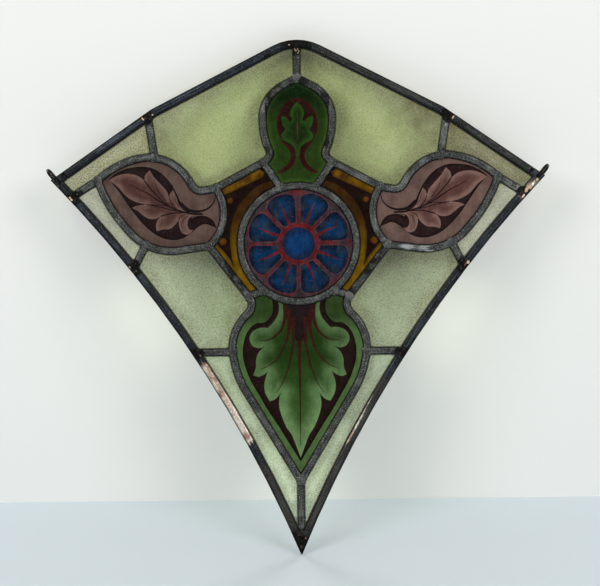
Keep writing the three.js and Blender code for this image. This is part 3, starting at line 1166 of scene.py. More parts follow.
@dataclass
class LeadWork:
    """Dresses each came: crowned flanges with rounded, slightly uneven faces."""

    finishes: Finishes
    inner: Flange = Flange(LEAD_FACE, lip=0.5, crown=1.25, rounding=1.7)
    border: Flange = Flange(BORDER_FACE, lip=0.7, crown=1.75, rounding=2.4)
    spacing: float = 1.1
    rim_spacing: float = 1.65
    merge: float = 1e-6
    unevenness: float = 0.13
    swell_size: float = 5.0
    dent_size: float = 1.7
    dent_share: float = 0.5
    dent_seed: float = 4.0
    smooth_above: float = 0.3
    soot_half_length: float = 7.0
    stretches: tuple[Stretch, ...] = (
        # The rubbed stretches are partly painted sheen and highlights: bright runs on the border and
        # patches on a few inner cames.
        Stretch(Patina.RUBBED, (-83, -161), (-44, -235), 1.15, soft_end=5.0),
        Stretch(Patina.RUBBED, (66.5, -184.2), (25.5, -258.3), 0.52, half_width=0.9),
        Stretch(Patina.RUBBED, (127, 46), (124, 38), 0.4, half_width=4.0, soft_end=3.0),
        Stretch(Patina.RUBBED, (188, -26), (206, -7), 0.9),
        Stretch(Patina.RUBBED, (-199, -13), (-190, -22), 0.4),
        Stretch(Patina.RUBBED, (78, -63), (126, -67), 0.55, half_width=6.0),
        Stretch(Patina.RUBBED, (172, -4), (196, -21), 0.35, half_width=5.0),
        Stretch(Patina.RUBBED, (-50, -112), (-32, -100), 0.4, half_width=6.0),
        Stretch(Patina.DUSTY, (12, 112), (122, 54), 0.5),
        Stretch(Patina.DUSTY, (132, 46), (206, -4), 0.5),
        Stretch(Patina.DUSTY, (76, -172), (20, -272), 0.9),
        Stretch(Patina.DUSTY, (-40, -246), (-2, -326), 0.75),
        Stretch(Patina.DUSTY, (36, -252), (2, -326), 0.75),
        Stretch(Patina.SOOTED, (-15, 109), (15, 109), 0.9, soft_end=7.0),
        Stretch(Patina.SOOTED, (0, -304), (0, -345), 0.8, half_width=12.0, soft_end=12.0),
        Stretch(Patina.SOOTED, (-210, 0), (-186, -26), 0.5, soft_end=7.0),
        Stretch(Patina.SOOTED, (80, -58), (40, -110), 0.42, half_width=4.5),
        Stretch(Patina.SOOTED, (-80, -58), (-40, -110), 0.4, half_width=4.5),
        Stretch(Patina.SOOTED, (0, 0), (0, 112), 0.44, half_width=28.0),
        Stretch(Patina.SOOTED, (-26, 10), (-74, -14), 0.36, half_width=4.5),
    )
    flanges: list[list[np.ndarray]] = field(default_factory=list)

    def build(self) -> None:
        """Dresses every lead node."""
        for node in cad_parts:
            if node.startswith("lead_"):
                self.dress(node, self.inner, "lead", self.finishes.lead)
            elif node.startswith("rim_"):
                self.dress(node, self.border, "border_lead", self.finishes.border)

    def dress(self, node: str, flange: Flange, slot: str, material: Material) -> None:
        """Makes the worked copy of one came, with the crowned faces of its flange.

        Args:
            node: The came's CAD node.
            flange: The sizes of its flange.
            slot: The record's material slot, which is not used.
            material: The material it wears.
        """
        shape = merged_copy(node)
        layers = [shape.verts.layers.float.new(name) for name in ("edge", *(kind.value for kind in Patina))]
        for side in Side:
            self.crown_face(shape, layers, side, flange)
        piece = finished_object(f"worked_{node}", shape, material, slot, node)
        for polygon in piece.data.polygons:
            polygon.use_smooth = abs(polygon.normal.y) > self.smooth_above

    def crown_face(self, shape: BMesh, layers: list[BMLayerItem], side: Side,
                   flange: Flange) -> None:
        """Replaces one flat face of a came by a crowned one with many small faces.

        Args:
            shape: The came.
            layers: Its layers for the distance to the edge and for each kind of cover, painted sheen among
                them.
            side: The front or the back.
            flange: The sizes of its flange.
        """
        faces = facing(shape, side, flange.face)
        if side is Side.FRONT:
            self.flanges.append([flat_points(loop) for loop in boundary_loops(faces)])
        self.cut_rim(shape, set(faces))
        faces = facing(shape, side, flange.face)
        loops = boundary_loops(faces)
        loops.sort(key=lambda loop: -np.ptp(flat_points(loop)[:, 0]))
        edges = [flat_points(loop) for loop in loops]
        spots = lattice(edges[0], self.spacing, edges[1:])
        for hole in edges[1:]:
            spots = spots[~inside(spots, hole)]
        corners = [vert for loop in loops for vert in loop]
        bmesh.ops.delete(shape, geom=faces, context="FACES")
        crown = self.fill(shape, corners, edges, spots)
        depth = CHANNEL + flange.lip
        for vert in corners:
            vert.co.y = side * depth * MM
        places = flat_points(crown)
        reach = distance_to(places, edges)
        for vert, (x, z), distance in zip(crown, places, reach):
            rounding = math.sqrt(1 - (1 - min(distance / flange.rounding, 1)) ** 2)
            dents = wobble(x, z, self.dent_size, side + self.dent_seed)
            uneven = wobble(x, z, self.swell_size, side) + self.dent_share * dents
            rise = (flange.crown - flange.lip + self.unevenness * uneven) * rounding
            vert.co.y = side * (depth + rise) * MM
            vert[layers[0]] = float(distance)
        self.lay_patina([*corners, *crown], layers[1:])

    def cut_rim(self, shape: BMesh, patch: set[BMFace]) -> None:
        """Cuts the edges round a patch of faces into short ones.

        Args:
            shape: The came.
            patch: The faces of one of its flat sides.
        """
        rim = [edge for edge in shape.edges if sum(face in patch for face in edge.link_faces) == 1]
        for edge in rim:
            cuts = math.ceil(edge.calc_length() / (self.rim_spacing * MM)) - 1
            if cuts > 0:
                bmesh.ops.bisect_edges(shape, edges=[edge], cuts=cuts)

    def lay_patina(self, verts: list[BMVert], layers: list[BMLayerItem]) -> None:
        """Writes each kind of cover, painted sheen among them, on the corners of a came's faces.

        Args:
            verts: The corners.
            layers: The layer of each kind, in the order the kinds are listed.
        """
        places = flat_points(verts)
        for kind, layer in zip(Patina, layers):
            stretches = [stretch for stretch in self.stretches if stretch.patina is kind]
            if kind is Patina.SOOTED:
                stretches.extend(self.joint_soot())
            strengths = np.max([stretch.at(places) for stretch in stretches], axis=0)
            for vert, strength in zip(verts, strengths):
                vert[layer] = float(strength)

    def joint_soot(self) -> list[Stretch]:
        """Returns the dark stretches round the border's joints."""
        reach = self.soot_half_length
        return [
            Stretch(Patina.SOOTED, joint.place(-reach, 0, hand), joint.place(reach, 0, hand),
                    half_width=6.5, soft_end=4.0)
            for joint in BORDER_JOINTS for hand in Hand
        ]

    def fill(self, shape: BMesh, corners: list[BMVert], edges: list[np.ndarray],
             spots: np.ndarray) -> list[BMVert]:
        """Fills a patch between its boundary loops with triangles through given spots.

        Args:
            shape: The bmesh, open where the patch goes.
            corners: The corners of all its loops.
            edges: Each loop's points in the panel's plane, the outer one first.
            spots: Points inside the patch.

        Returns:
            The corners that are new.
        """
        outer, *holes = edges
        places, triangles, origins = triangulated(
            np.vstack([*edges, spots]), ring_edges(edges), outer, holes, self.merge)
        known, new = [], []
        for place, source in zip(places, origins):
            if source and source[0] < len(corners):
                known.append(corners[source[0]])
            else:
                known.append(shape.verts.new((place.x * MM, 0.0, place.y * MM)))
                new.append(known[-1])
        for triangle in triangles:
            shape.faces.new([known[i] for i in triangle])
        bmesh.ops.recalc_face_normals(shape, faces=shape.faces)
        return new


@dataclass(frozen=True)
class Dot:
    """A round dot of solder or of paint: its place and radius."""

    x: float
    z: float
    radius: float


@dataclass(frozen=True)
class BeadSet:
    """The small bright beads of one finish, painted glints: round ones on the middle line, and those at the
    joints.
    """

    middle: tuple[Dot, ...]
    right: tuple[tuple[BorderJoint, Bead], ...]
    left: tuple[tuple[BorderJoint, Bead], ...]


@dataclass
class SolderWork:
    """Flattened solder on every meeting of cames, with small bright beads along the border that are painted
    glints.
    """

    finishes: Finishes
    inner_radius: float = 4.3
    inner_height: float = 3.3
    border_height: float = 3.9
    bead_height: float = 4.15
    root: float = CHANNEL + 0.5
    swell: float = 0.3
    swell_size: float = 1.6
    dent: float = 0.2
    dent_size: float = 1.5
    dent_seed: float = 8.0
    subdivisions: int = 3
    clear_of_putty: float = 3.0
    middle_joints: tuple[Point, ...] = ((0, 81.3), (0, -265))
    inner_joints: tuple[Point, ...] = (
        (29.6, 8.8), (15.2, -12.2), (70.6, -12.9), (76.7, -62.5), (172, -5.2), (123, 13.9),
        (131.4, -61), (43.2, -106.2), (30.7, -102), (57.5, -153.9),
    )
    joint_lumps: tuple[Bead, ...] = (
        Bead(-2.6, 0.3, 2.6, 2.2), Bead(2.3, -0.4, 2.8, 2.3), Bead(0.2, -2.4, 2.6, 2.2),
    )
    middle_lumps: tuple[Dot, ...] = (
        Dot(-3.0, 109.4, 2.6), Dot(3.2, 109.2, 2.5), Dot(0, 108.0, 2.8), Dot(0, -313.0, 2.7),
        Dot(0, -317.2, 2.6), Dot(0.2, -321.6, 2.0), Dot(0, -324.6, 1.3), Dot(0, -326.4, 0.8),
    )
    loop_lumps: tuple[Bead, ...] = (Bead(19.5, 0.2, 3.4, 2.5), Bead(15.6, 0.4, 2.6, 2.0))
    strut_end_lump: Bead = Bead(-1.6, -4.2, 2.0, 2.0)
    # Painted glints: bright and coppery beads where highlights shine on the border solder, the apex and the
    # tip.
    bright: BeadSet = BeadSet(
        middle=(
            Dot(-6.4, 109.4, 0.8), Dot(-1.5, 105.6, 0.6), Dot(-0.6, 104.4, 0.7), Dot(0.9, 105.8, 0.6),
            Dot(1.7, 104.2, 0.7), Dot(1.3, 102.6, 0.6),
        ),
        right=(
            (UPPER_JOINT, Bead(-6.8, 0.4, 1.0, 2.2)), (SIDE_JOINT, Bead(5.0, 1.4, 2.3, 1.5)),
            (TIP_JOINT, Bead(2.8, 0.0, 2.8, 2.2)), (TIP_JOINT, Bead(6.6, 0.4, 3.0, 2.0)),
            (TIP_JOINT, Bead(10.0, 0.8, 2.2, 1.6)), (TIP_JOINT, Bead(15.6, 0.8, 1.9, 1.9)),
        ),
        left=(
            (UPPER_JOINT, Bead(-5.1, 0.8, 0.9, 2.0)), (UPPER_JOINT, Bead(3.8, -1.2, 0.8, 0.8)),
            (TIP_JOINT, Bead(-1.4, 1.9, 1.7, 1.3)), (TIP_JOINT, Bead(0.8, 1.7, 1.2, 1.1)),
            (TIP_JOINT, Bead(-1.4, -4.9, 0.6, 0.6)),
        ),
    )
    copper: BeadSet = BeadSet(
        middle=(Dot(-2.6, -311.5, 1.0), Dot(3.3, -314.2, 1.1)),
        right=(
            (SIDE_JOINT, Bead(1.8, 0.8, 2.0, 1.2)), (CROSS_JOINT, Bead(-2.6, -1.2, 0.9, 0.8)),
            (TIP_JOINT, Bead(-2.6, 1.4, 2.6, 1.2)), (UPPER_JOINT, Bead(4.6, -1.6, 0.7, 0.7)),
        ),
        left=(
            (SIDE_JOINT, Bead(3.6, 1.9, 1.7, 1.0)), (SIDE_JOINT, Bead(-2.0, 2.0, 1.0, 0.8)),
            (CROSS_JOINT, Bead(-3.1, -1.8, 2.0, 0.9)), (TIP_JOINT, Bead(15.0, 2.0, 1.7, 0.7)),
        ),
    )

    def build(self) -> None:
        """Makes the inner solder, the border solder and the painted glint beads, each as one piece."""
        self.inner_solder()
        self.border_solder()
        self.beads("bright_beads", self.bright, self.finishes.bright_bead)
        self.beads("copper_beads", self.copper, self.finishes.copper_bead)

    def inner_solder(self) -> None:
        """Makes the flattened solder where the inner cames meet."""
        shape = bmesh.new()
        on_each_hand = [(hand * x, z) for hand in Hand for x, z in self.inner_joints]
        dots = [Dot(x, z, self.inner_radius) for x, z in (*self.middle_joints, *on_each_hand)]
        self.add_dots(shape, dots, self.inner_height)
        self.finish("inner_solder", shape, "lead", self.finishes.lead)

    def border_solder(self) -> None:
        """Makes the dark solder on the border's joints, its apex, its tip and under the loops."""
        shape = bmesh.new()
        self.add_dots(shape, self.middle_lumps, self.border_height)
        for hand in Hand:
            lumps = [(joint, lump) for joint in BORDER_JOINTS for lump in self.joint_lumps]
            lumps.extend((TIP_JOINT, lump) for lump in self.loop_lumps)
            self.add_beads(shape, lumps, hand, self.border_height)
        self.add_beads(shape, [(TIP_JOINT, self.strut_end_lump)], Hand.LEFT, self.border_height)
        self.finish("border_solder", shape, "border_lead", self.finishes.border_solder)

    def beads(self, name: str, beads: BeadSet, material: Material) -> None:
        """Makes the small bright beads of one finish, painted glints.

        Args:
            name: The piece's name.
            beads: Where the beads stand.
            material: The material they wear.
        """
        shape = bmesh.new()
        self.add_dots(shape, beads.middle, self.bead_height)
        self.add_beads(shape, beads.right, Hand.RIGHT, self.bead_height)
        self.add_beads(shape, beads.left, Hand.LEFT, self.bead_height)
        self.finish(name, shape, "border_lead", material)

    def add_dots(self, shape: BMesh, dots: Sequence[Dot], height: float) -> None:
        """Adds round lumps."""
        for dot in dots:
            self.lump(shape, (dot.x, dot.z), (dot.radius, dot.radius), 0.0, height)

    def add_beads(self, shape: BMesh, beads: Sequence[tuple[BorderJoint, Bead]], hand: Hand,
                  height: float) -> None:
        """Adds lumps that are placed from border joints, on one hand of the panel."""
        for joint, bead in beads:
            place = joint.place(bead.along, bead.outward, hand)
            self.lump(shape, place, (bead.half_length, bead.half_width), joint.slope(hand), height)

    def finish(self, name: str, shape: BMesh, slot: str, material: Material) -> None:
        """Makes one smooth piece of lumps of solder, with neither cement nor painted shade on it.

        Args:
            name: The piece's name.
            shape: Its mesh.
            slot: The record's material slot, which is not used.
            material: The material it wears.
        """
        piece = finished_object(name, shape, material, slot)
        for polygon in piece.data.polygons:
            polygon.use_smooth = True
        write_values(piece.data, "edge", np.full(len(piece.data.vertices), self.clear_of_putty))

    def lump(self, shape: BMesh, place: Point, size: tuple[float, float], slope: float,
             height: float) -> None:
        """Adds an uneven, flattened lump to the front and to the back, sunk into the lead.

        Args:
            shape: The mesh it is added to.
            place: Its middle, in millimetres.
            size: Half its length and half its width.
            slope: The direction of its length, in degrees.
            height: How far its top is from the panel's middle.
        """
        turn = Matrix.Rotation(math.radians(slope), 2)
        middle = Vector(place)
        for side in Side:
            ball = bmesh.ops.create_icosphere(shape, subdivisions=self.subdivisions, radius=1.0)
            for vert in ball["verts"]:
                flat = turn @ Vector((vert.co.x * size[0], vert.co.z * size[1]))
                here = middle + flat
                swell = 1 + self.swell * wobble(*here, self.swell_size, side * 2)
                top = (height - self.root) * (1 + self.dent * wobble(*here, self.dent_size, self.dent_seed))
                x, z = middle + flat * swell
                vert.co = Vector((x, side * (self.root + vert.co.y * top), z)) * MM


# Glass


@dataclass(frozen=True)
class Wash:
    """How a painted area is shaded.

    One tone lies at its outline and another deeper in, a third comes in with height, with a share
    of it at the outline too, and a fourth lies over them in stains.
    """

    rim: Colour
    deep: Colour
    reach: float = 5.0
    high: Colour | None = None
    high_from: float = 0.0
    high_to: float = 1.0
    high_at_rim: float = 1.0
    stain: Colour | None = None
    stain_size: float = 8.0
    stain_level: float = 0.1


@dataclass(frozen=True)
class PaintedArea:
    """One painted area: its outline in millimetres and its wash."""

    edge: np.ndarray
    wash: Wash

    def mirrored(self) -> "PaintedArea":
        """Returns the same area on the other hand."""
        return PaintedArea(mirrored(self.edge), self.wash)


@dataclass(frozen=True)
class DirtySpot:
    """A dark spot on clear glass, some of real dirt and some of painted shadow: its place, how far it
    reaches and its share of the film.
    """

    x: float
    z: float
    reach: float
    share: float

    def at(self, places: np.ndarray) -> np.ndarray:
        """Returns the spot's share at each place."""
        away = np.hypot(places[:, 0] - self.x, places[:, 1] - self.z)
        return self.share * np.exp(-((away / self.reach) ** 2))


@dataclass
class Pane:
    """One pane of glass, made again from the outline of its CAD node with many small faces.

    The node is the CAD node's name, the spacing is the distance between the mesh's inner points in
    millimetres, and the flanges of the lead cover the pane's edges.
    """

    node: str
    spacing: float
    lead: LeadWork
    merge: float = 1e-5
    lead_reach: float = 9.0
    thickest_film: float = 0.9
    stain_softness: float = 0.3
    stain_seed: float = 11.0

    def __post_init__(self) -> None:
        """Reads the pane's outline."""
        shape = merged_copy(self.node)
        loops = boundary_loops(facing(shape, Side.FRONT, GLASS_FACE))
        self.edge = with_cuts(flat_points(max(loops, key=len)), 2 * self.spacing)
        shape.free()

    def build(self, name: str, slot: str, material: Material, areas: list[PaintedArea]) -> Object:
        """Makes the pane.

        Args:
            name: The piece's name.
            slot: The record's material slot, which is not used.
            material: The material it wears.
            areas: Its painted areas from the lowest to the topmost, the first covering the whole pane.

        Returns:
            The pane's object.
        """
        lines = [area.edge for area in areas if len(area.edge)]
        spots = lattice(self.edge, self.spacing, lines)
        rims = ring_edges([self.edge]) + ring_edges(lines, len(self.edge) + len(spots))
        places, triangles, _ = triangulated(
            np.vstack([self.edge, spots, *lines]), rims, self.edge, [], self.merge)
        shape = bmesh.new()
        corners = [shape.verts.new((place.x * MM, -GLASS_FACE * MM, place.y * MM)) for place in places]
        for triangle in triangles:
            shape.faces.new([corners[i] for i in triangle])
        bmesh.ops.delete(shape, geom=[v for v in shape.verts if not v.link_faces], context="VERTS")
        made = bmesh.ops.extrude_face_region(shape, geom=shape.faces[:])["geom"]
        back = [item for item in made if isinstance(item, BMVert)]
        bmesh.ops.translate(shape, verts=back, vec=(0, 2 * GLASS_FACE * MM, 0))
        bmesh.ops.recalc_face_normals(shape, faces=shape.faces)
        piece = finished_object(name, shape, material, slot, self.node)
        write_values(piece.data, "edge", self.from_lead(plane_points(piece.data)))
        if areas:
            self.paint(piece.data, areas)
        return piece

    def lay_film(self, mesh: Mesh, film: float, spots: Sequence[DirtySpot]) -> None:
        """Writes how thick a film of dirt lies on the mesh, all over and in spots, some spots being painted
        shadow.
        """
        places = plane_points(mesh)
        share = film + sum(spot.at(places) for spot in spots)
        write_values(mesh, "film", np.minimum(share, self.thickest_film))

    def paint(self, mesh: Mesh, areas: list[PaintedArea]) -> None:
        """Writes the painted colours on the mesh.

        Args:
            mesh: The pane's mesh.
            areas: Its painted areas from the lowest to the topmost.
        """
        corner_vert = np.empty(len(mesh.loops), dtype=int)
        mesh.loops.foreach_get("vertex_index", corner_vert)
        sizes = np.empty(len(mesh.polygons), dtype=int)
        mesh.polygons.foreach_get("loop_total", sizes)
        centres = np.empty(len(mesh.polygons) * 3)
        mesh.polygons.foreach_get("center", centres)
        centres = centres.reshape(-1, 3)[:, [0, 2]] / MM
        owner = np.zeros(len(centres), dtype=int)
        for index, area in enumerate(areas):
            if len(area.edge):
                owner[inside(centres, area.edge)] = index
        corner_owner = np.repeat(owner, sizes)
        places = plane_points(mesh)
        colours = np.ones((len(corner_vert), 4))
        for index, area in enumerate(areas):
            mine = corner_owner == index
            if mine.any():
                colours[mine, :3] = self.shades(places[corner_vert[mine]], area)
        layer = mesh.color_attributes.new("paint", "FLOAT_COLOR", "CORNER")
        layer.data.foreach_set("color", colours.ravel())

    def from_lead(self, places: np.ndarray) -> np.ndarray:
        """Returns each place's distance to the nearest came, less than nothing where it is covered.

        Args:
            places: Places on the pane, one row each.

        Returns:
            One distance for each place, in millimetres.
        """
        unique, back = np.unique(places.round(DECIMALS), axis=0, return_inverse=True)
        low, high = unique.min(axis=0) - self.lead_reach, unique.max(axis=0) + self.lead_reach
        reach = np.full(len(unique), FAR)
        covered = np.zeros(len(unique), dtype=bool)
        for loops in self.lead.flanges:
            points = np.vstack(loops)
            if (points.min(axis=0) > high).any() or (points.max(axis=0) < low).any():
                continue
            reach = np.minimum(reach, distance_to(unique, loops))
            under = np.zeros(len(unique), dtype=bool)
            for loop in loops:
                under ^= inside(unique, loop)
            covered |= under
        return np.where(covered, -reach, reach)[back.ravel()]

    def shades(self, places: np.ndarray, area: PaintedArea) -> np.ndarray:
        """Returns the colour of a painted area at some places.

        Args:
            places: Places on the area, one row each.
            area: The painted area.

        Returns:
            One colour for each place.
        """
        wash = area.wash
        unique, back = np.unique(places.round(DECIMALS), axis=0, return_inverse=True)
        rim = area.edge if len(area.edge) else self.edge
        deep = eased(distance_to(unique, [rim]) / wash.reach)
        colours = mixed(np.array(wash.rim), wash.deep, deep)
        if wash.high is not None:
            height = eased((unique[:, 1] - wash.high_from) / (wash.high_to - wash.high_from))
            colours = mixed(colours, wash.high, height * (deep + (1 - deep) * wash.high_at_rim))
        if wash.stain is not None:
            stains = np.array([wobble(x, z, wash.stain_size, self.stain_seed) for x, z in unique])
            stains = np.clip((stains - wash.stain_level) / self.stain_softness + 0.5, 0, 1)[:, None]
            colours = mixed(colours, wash.stain, stains)
        return colours[back.ravel()]


# The edge of a painted area that covers its whole pane.
WHOLE = np.zeros((0, 2))


def both_hands(right: list[PaintedArea]) -> dict[Hand, list[PaintedArea]]:
    """Returns the painted areas of a right pane and, mirrored, those of its left twin."""
    return {Hand.RIGHT: right, Hand.LEFT: [area.mirrored() for area in right]}


@dataclass
class PaintedLobes:
    """The two side lobes: a mauve leaf and scroll on a near-black ground inside a pale band."""

    finishes: Finishes
    lead: LeadWork
    spacing: float = 1.5
    band: Wash = Wash(tone(86, 70, 63), tone(106, 85, 79), 5.5, stain=tone(92, 73, 68), stain_size=14.0)
    ground: Wash = Wash(tone(26, 14, 14), tone(40, 26, 26), 3.0)
    leaf: Wash = Wash(tone(122, 95, 88), tone(88, 60, 56), 6.0)
    line: Wash = Wash(tone(30, 19, 19), tone(30, 19, 19), 1.0)
    ground_edge: tuple[Stroke, ...] = (
        ((155.7, 1.2), (145.4, 5.2), (132.5, 6.2), (123, 4), (114.5, -2.1), (108.5, -9.5), (104.3, -17.2),
         (100, -25.9), (93.2, -31.1), (85.5, -32.3), (77.7, -29.9), (72.5, -24.8), (70.7, -19.2)),
        ((72.9, -26.1), (78.1, -31.2), (85.5, -33.7), (93.2, -33.2)),
        ((91.5, -38.8),),
        ((86.4, -36.6), (79.5, -36.8), (73.5, -40.3), (69.7, -47.6)),
        ((74.4, -45.4), (80.4, -43.5), (86.4, -46.2), (93.4, -52.1), (100.3, -56), (109.7, -57),
         (120, -53.7), (128.6, -47.6), (137.1, -38.7), (145.6, -27.2), (154.1, -14.7), (162.6, -4.3)),
    )
    leaf_edge: tuple[Stroke, ...] = (
        ((158.3, -2.6), (152.3, -0.3), (145.4, 0.3), (137.7, -1.5), (131.7, -5.8)),
        ((131.2, -1.1), (127.3, 3.2)),
        ((123.1, -3.3), (118, -9), (112.8, -15), (110.7, -20.6)),
        ((109.8, -16.8), (107.2, -14)),
        ((104.7, -19.8), (102.2, -27.1), (97.5, -32.2), (90.6, -33.9), (82.9, -34.2)),
        ((82.9, -35.7),),
        ((90.7, -36.3), (94.5, -39.7), (95.2, -44.8), (93.3, -48.3), (90.3, -48.3)),
        ((93.4, -51.7), (97.2, -52.4), (100.6, -49.9), (102.5, -44.8), (102.7, -39.6)),
        ((105.8, -43.9), (110.5, -47.3), (116.5, -47.8), (121.7, -49.2)),
        ((122.4, -45), (121.2, -40.3), (118.2, -36.5)),
        ((122.5, -38.6), (128.5, -38.4), (133.6, -35.3), (137.9, -31.6), (143.1, -29)),
        ((138.7, -27.3), (134.4, -26.6), (130.6, -26.1)),
        ((137, -24.7), (143.4, -21.9), (149, -17.7), (153.2, -12.5), (157.5, -8.6), (162.6, -5.2)),
    )
    veins: tuple[BrushLine, ...] = (
        BrushLine(((145.5, -8.3), (136.9, -12.7), (128.3, -17.3), (119.8, -23.1), (111.2, -27.9),
                   (102.7, -31.7), (92.4, -34.4), (82, -35)), (0.5, 1.3, 1.7)),
        BrushLine(((131.7, -5.8), (127.4, -11.9), (122.3, -17.5), (117.2, -22.7), (111.2, -26.6)),
                  (1.1, 1.0, 0.8)),
        BrushLine(((123.1, -5), (121.4, -11.9), (118, -18), (113.8, -23.2)), (0.3, 0.6, 0.7)),
        BrushLine(((110.7, -20.6), (108.6, -25.8), (104.4, -30.6)), (0.7, 0.7, 0.6)),
        BrushLine(((105.6, -17.2), (105.2, -23.2), (101.8, -29.3)), (0.2, 0.5, 0.6)),
        BrushLine(((130.6, -26.1), (124.1, -27), (117.2, -26.8), (111.2, -28.2)), (0.8, 0.7, 0.5)),
        BrushLine(((132.7, -28.6), (125.8, -27.4), (118.1, -28.6), (109.5, -31), (100.9, -32.7)),
                  (0.3, 0.8, 0.8)),
        BrushLine(((118.2, -36.5), (112.1, -34.8), (105.3, -33.6), (97.5, -33.9)), (1.1, 1.0, 0.8)),
        BrushLine(((102.7, -39.6), (101, -36.6), (96.7, -35.2)), (0.7, 0.6, 0.5)),
        BrushLine(((99.4, -50), (100.2, -44.8), (98.4, -39.2), (94.1, -36.2)), (0.2, 0.5, 0.5)),
    )
    scroll: BrushLine = BrushLine(
        ((101, -25), (94, -31), (85.5, -32.6), (77.7, -30.2), (72.5, -24.8), (70.9, -18.5)), (2.2, 1.9, 0.5)
    )

    def areas(self) -> list[PaintedArea]:
        """Returns the right lobe's painted areas."""
        return [
            PaintedArea(WHOLE, self.band),
            PaintedArea(outline(*self.ground_edge), self.ground),
            PaintedArea(outline(*self.leaf_edge), self.leaf),
            *(PaintedArea(line.outline(), self.line) for line in (*self.veins, self.scroll)),
        ]

    def build(self) -> None:
        """Makes both lobes, the left one darker with painted shade."""
        paints = {Hand.RIGHT: self.finishes.lobe_paint, Hand.LEFT: self.finishes.shaded_lobe_paint}
        for hand, areas in both_hands(self.areas()).items():
            Pane(f"glass_lobe_{hand.word}", self.spacing, self.lead).build(
                f"painted_lobe_{hand.word}", "glass_plum", paints[hand], areas)


@dataclass
class PaintedBottomLeaf:
    """The large lower leaf: green on a brown ground, with rolled scrolls at its shoulders."""

    finishes: Finishes
    lead: LeadWork
    spacing: float = 1.6
    band: Wash = Wash(tone(112, 140, 92), tone(90, 120, 70), 4.0, tone(54, 76, 38), -140.0, -121.0)
    ground: Wash = Wash(tone(27, 14, 12), tone(42, 26, 23), 4.0)
    leaf: Wash = Wash(tone(122, 158, 104), tone(64, 98, 44), 15.0, tone(40, 66, 22), -212.0, -150.0, 0.45)
    stem: Wash = Wash(tone(30, 19, 20), tone(44, 31, 35), 5.0)
    line: Wash = Wash(tone(62, 30, 23), tone(62, 30, 23), 1.0)
    ground_edge: tuple[Stroke, ...] = (
        ((23.3, -109),),
        ((22.5, -116.8), (24.2, -122.8), (28.6, -127.9)),
        ((32, -129), (36.3, -129.1), (40.7, -131.7), (44.6, -136.4), (47.2, -142.4), (48.8, -151),
         (48.6, -159.6), (46.1, -169.1), (41.9, -179.4), (35.5, -190.6), (27.5, -204.5), (19, -217.4),
         (10.1, -232.1), (0, -248.5)),
    )
    leaf_edge: tuple[Stroke, ...] = (
        ((18.3, -109.1),),
        ((17.3, -116), (18.7, -122.8), (22.6, -128.8), (27.3, -133.5)),
        ((30.4, -132.9), (35.5, -133.7), (40.3, -136.4), (42.9, -141.1), (42.1, -146.3), (38.7, -149.8),
         (33.9, -150.5), (29.6, -149.2)),
        ((33.1, -152), (36.1, -155.8), (37.6, -161), (37.9, -167.4), (40.1, -173.8)),
        ((35.8, -175.2), (31.5, -173.7), (27.6, -170.9)),
        ((29.6, -176.5), (30.7, -182.1), (29.9, -189), (26.1, -196.3)),
        ((22.2, -195.1), (18.8, -192.1), (16.2, -188.2)),
        ((17.9, -194.2), (18, -201.1), (15.9, -209.3), (12.1, -218.4), (7.4, -225.7), (4.1, -233.9),
         (0, -245.1)),
    )
    stem_edge: tuple[Stroke, ...] = (
        ((13.2, -108),),
        ((12.6, -114), (11.6, -119), (9.0, -123), (6.4, -126.5), (4.6, -133), (4.2, -141), (0, -149)),
    )
    veins: tuple[BrushLine, ...] = (
        BrushLine(((12.0, -112), (12.2, -124), (15.5, -135), (22.4, -141.5), (28, -143.7), (34.3, -144.2)),
                  (4.4, 2.3, 0.5)),
        BrushLine(((9.4, -118), (9.0, -134.1), (12.0, -147), (18.5, -159), (25.4, -164.9), (33.2, -168.7)),
                  (4.4, 1.9, 0.5)),
        BrushLine(((5.6, -124), (5.2, -142.7), (6.9, -155.6), (10.4, -169.3), (15.3, -181.3), (20.5, -189)),
                  (4.2, 1.7, 0.5)),
    )
    middle_vein: BrushLine = BrushLine(((0, -144), (0, -178.9), (0, -213.3), (0, -234.5)), (3.6, 1.3, 0.4))

    def build(self) -> None:
        """Makes the lower leaf's pane."""
        veins = [vein.outline() for vein in self.veins]
        lines = [*veins, *(mirrored(vein) for vein in veins), self.middle_vein.outline()]
        areas = [
            PaintedArea(WHOLE, self.band),
            PaintedArea(symmetric(*self.ground_edge), self.ground),
            PaintedArea(symmetric(*self.leaf_edge), self.leaf),
            PaintedArea(symmetric(*self.stem_edge), self.stem),
            *(PaintedArea(line, self.line) for line in lines),
        ]
        Pane("glass_bottom_leaf", self.spacing, self.lead).build(
            "painted_bottom_leaf", "glass_green", self.finishes.leaf_paint, areas)


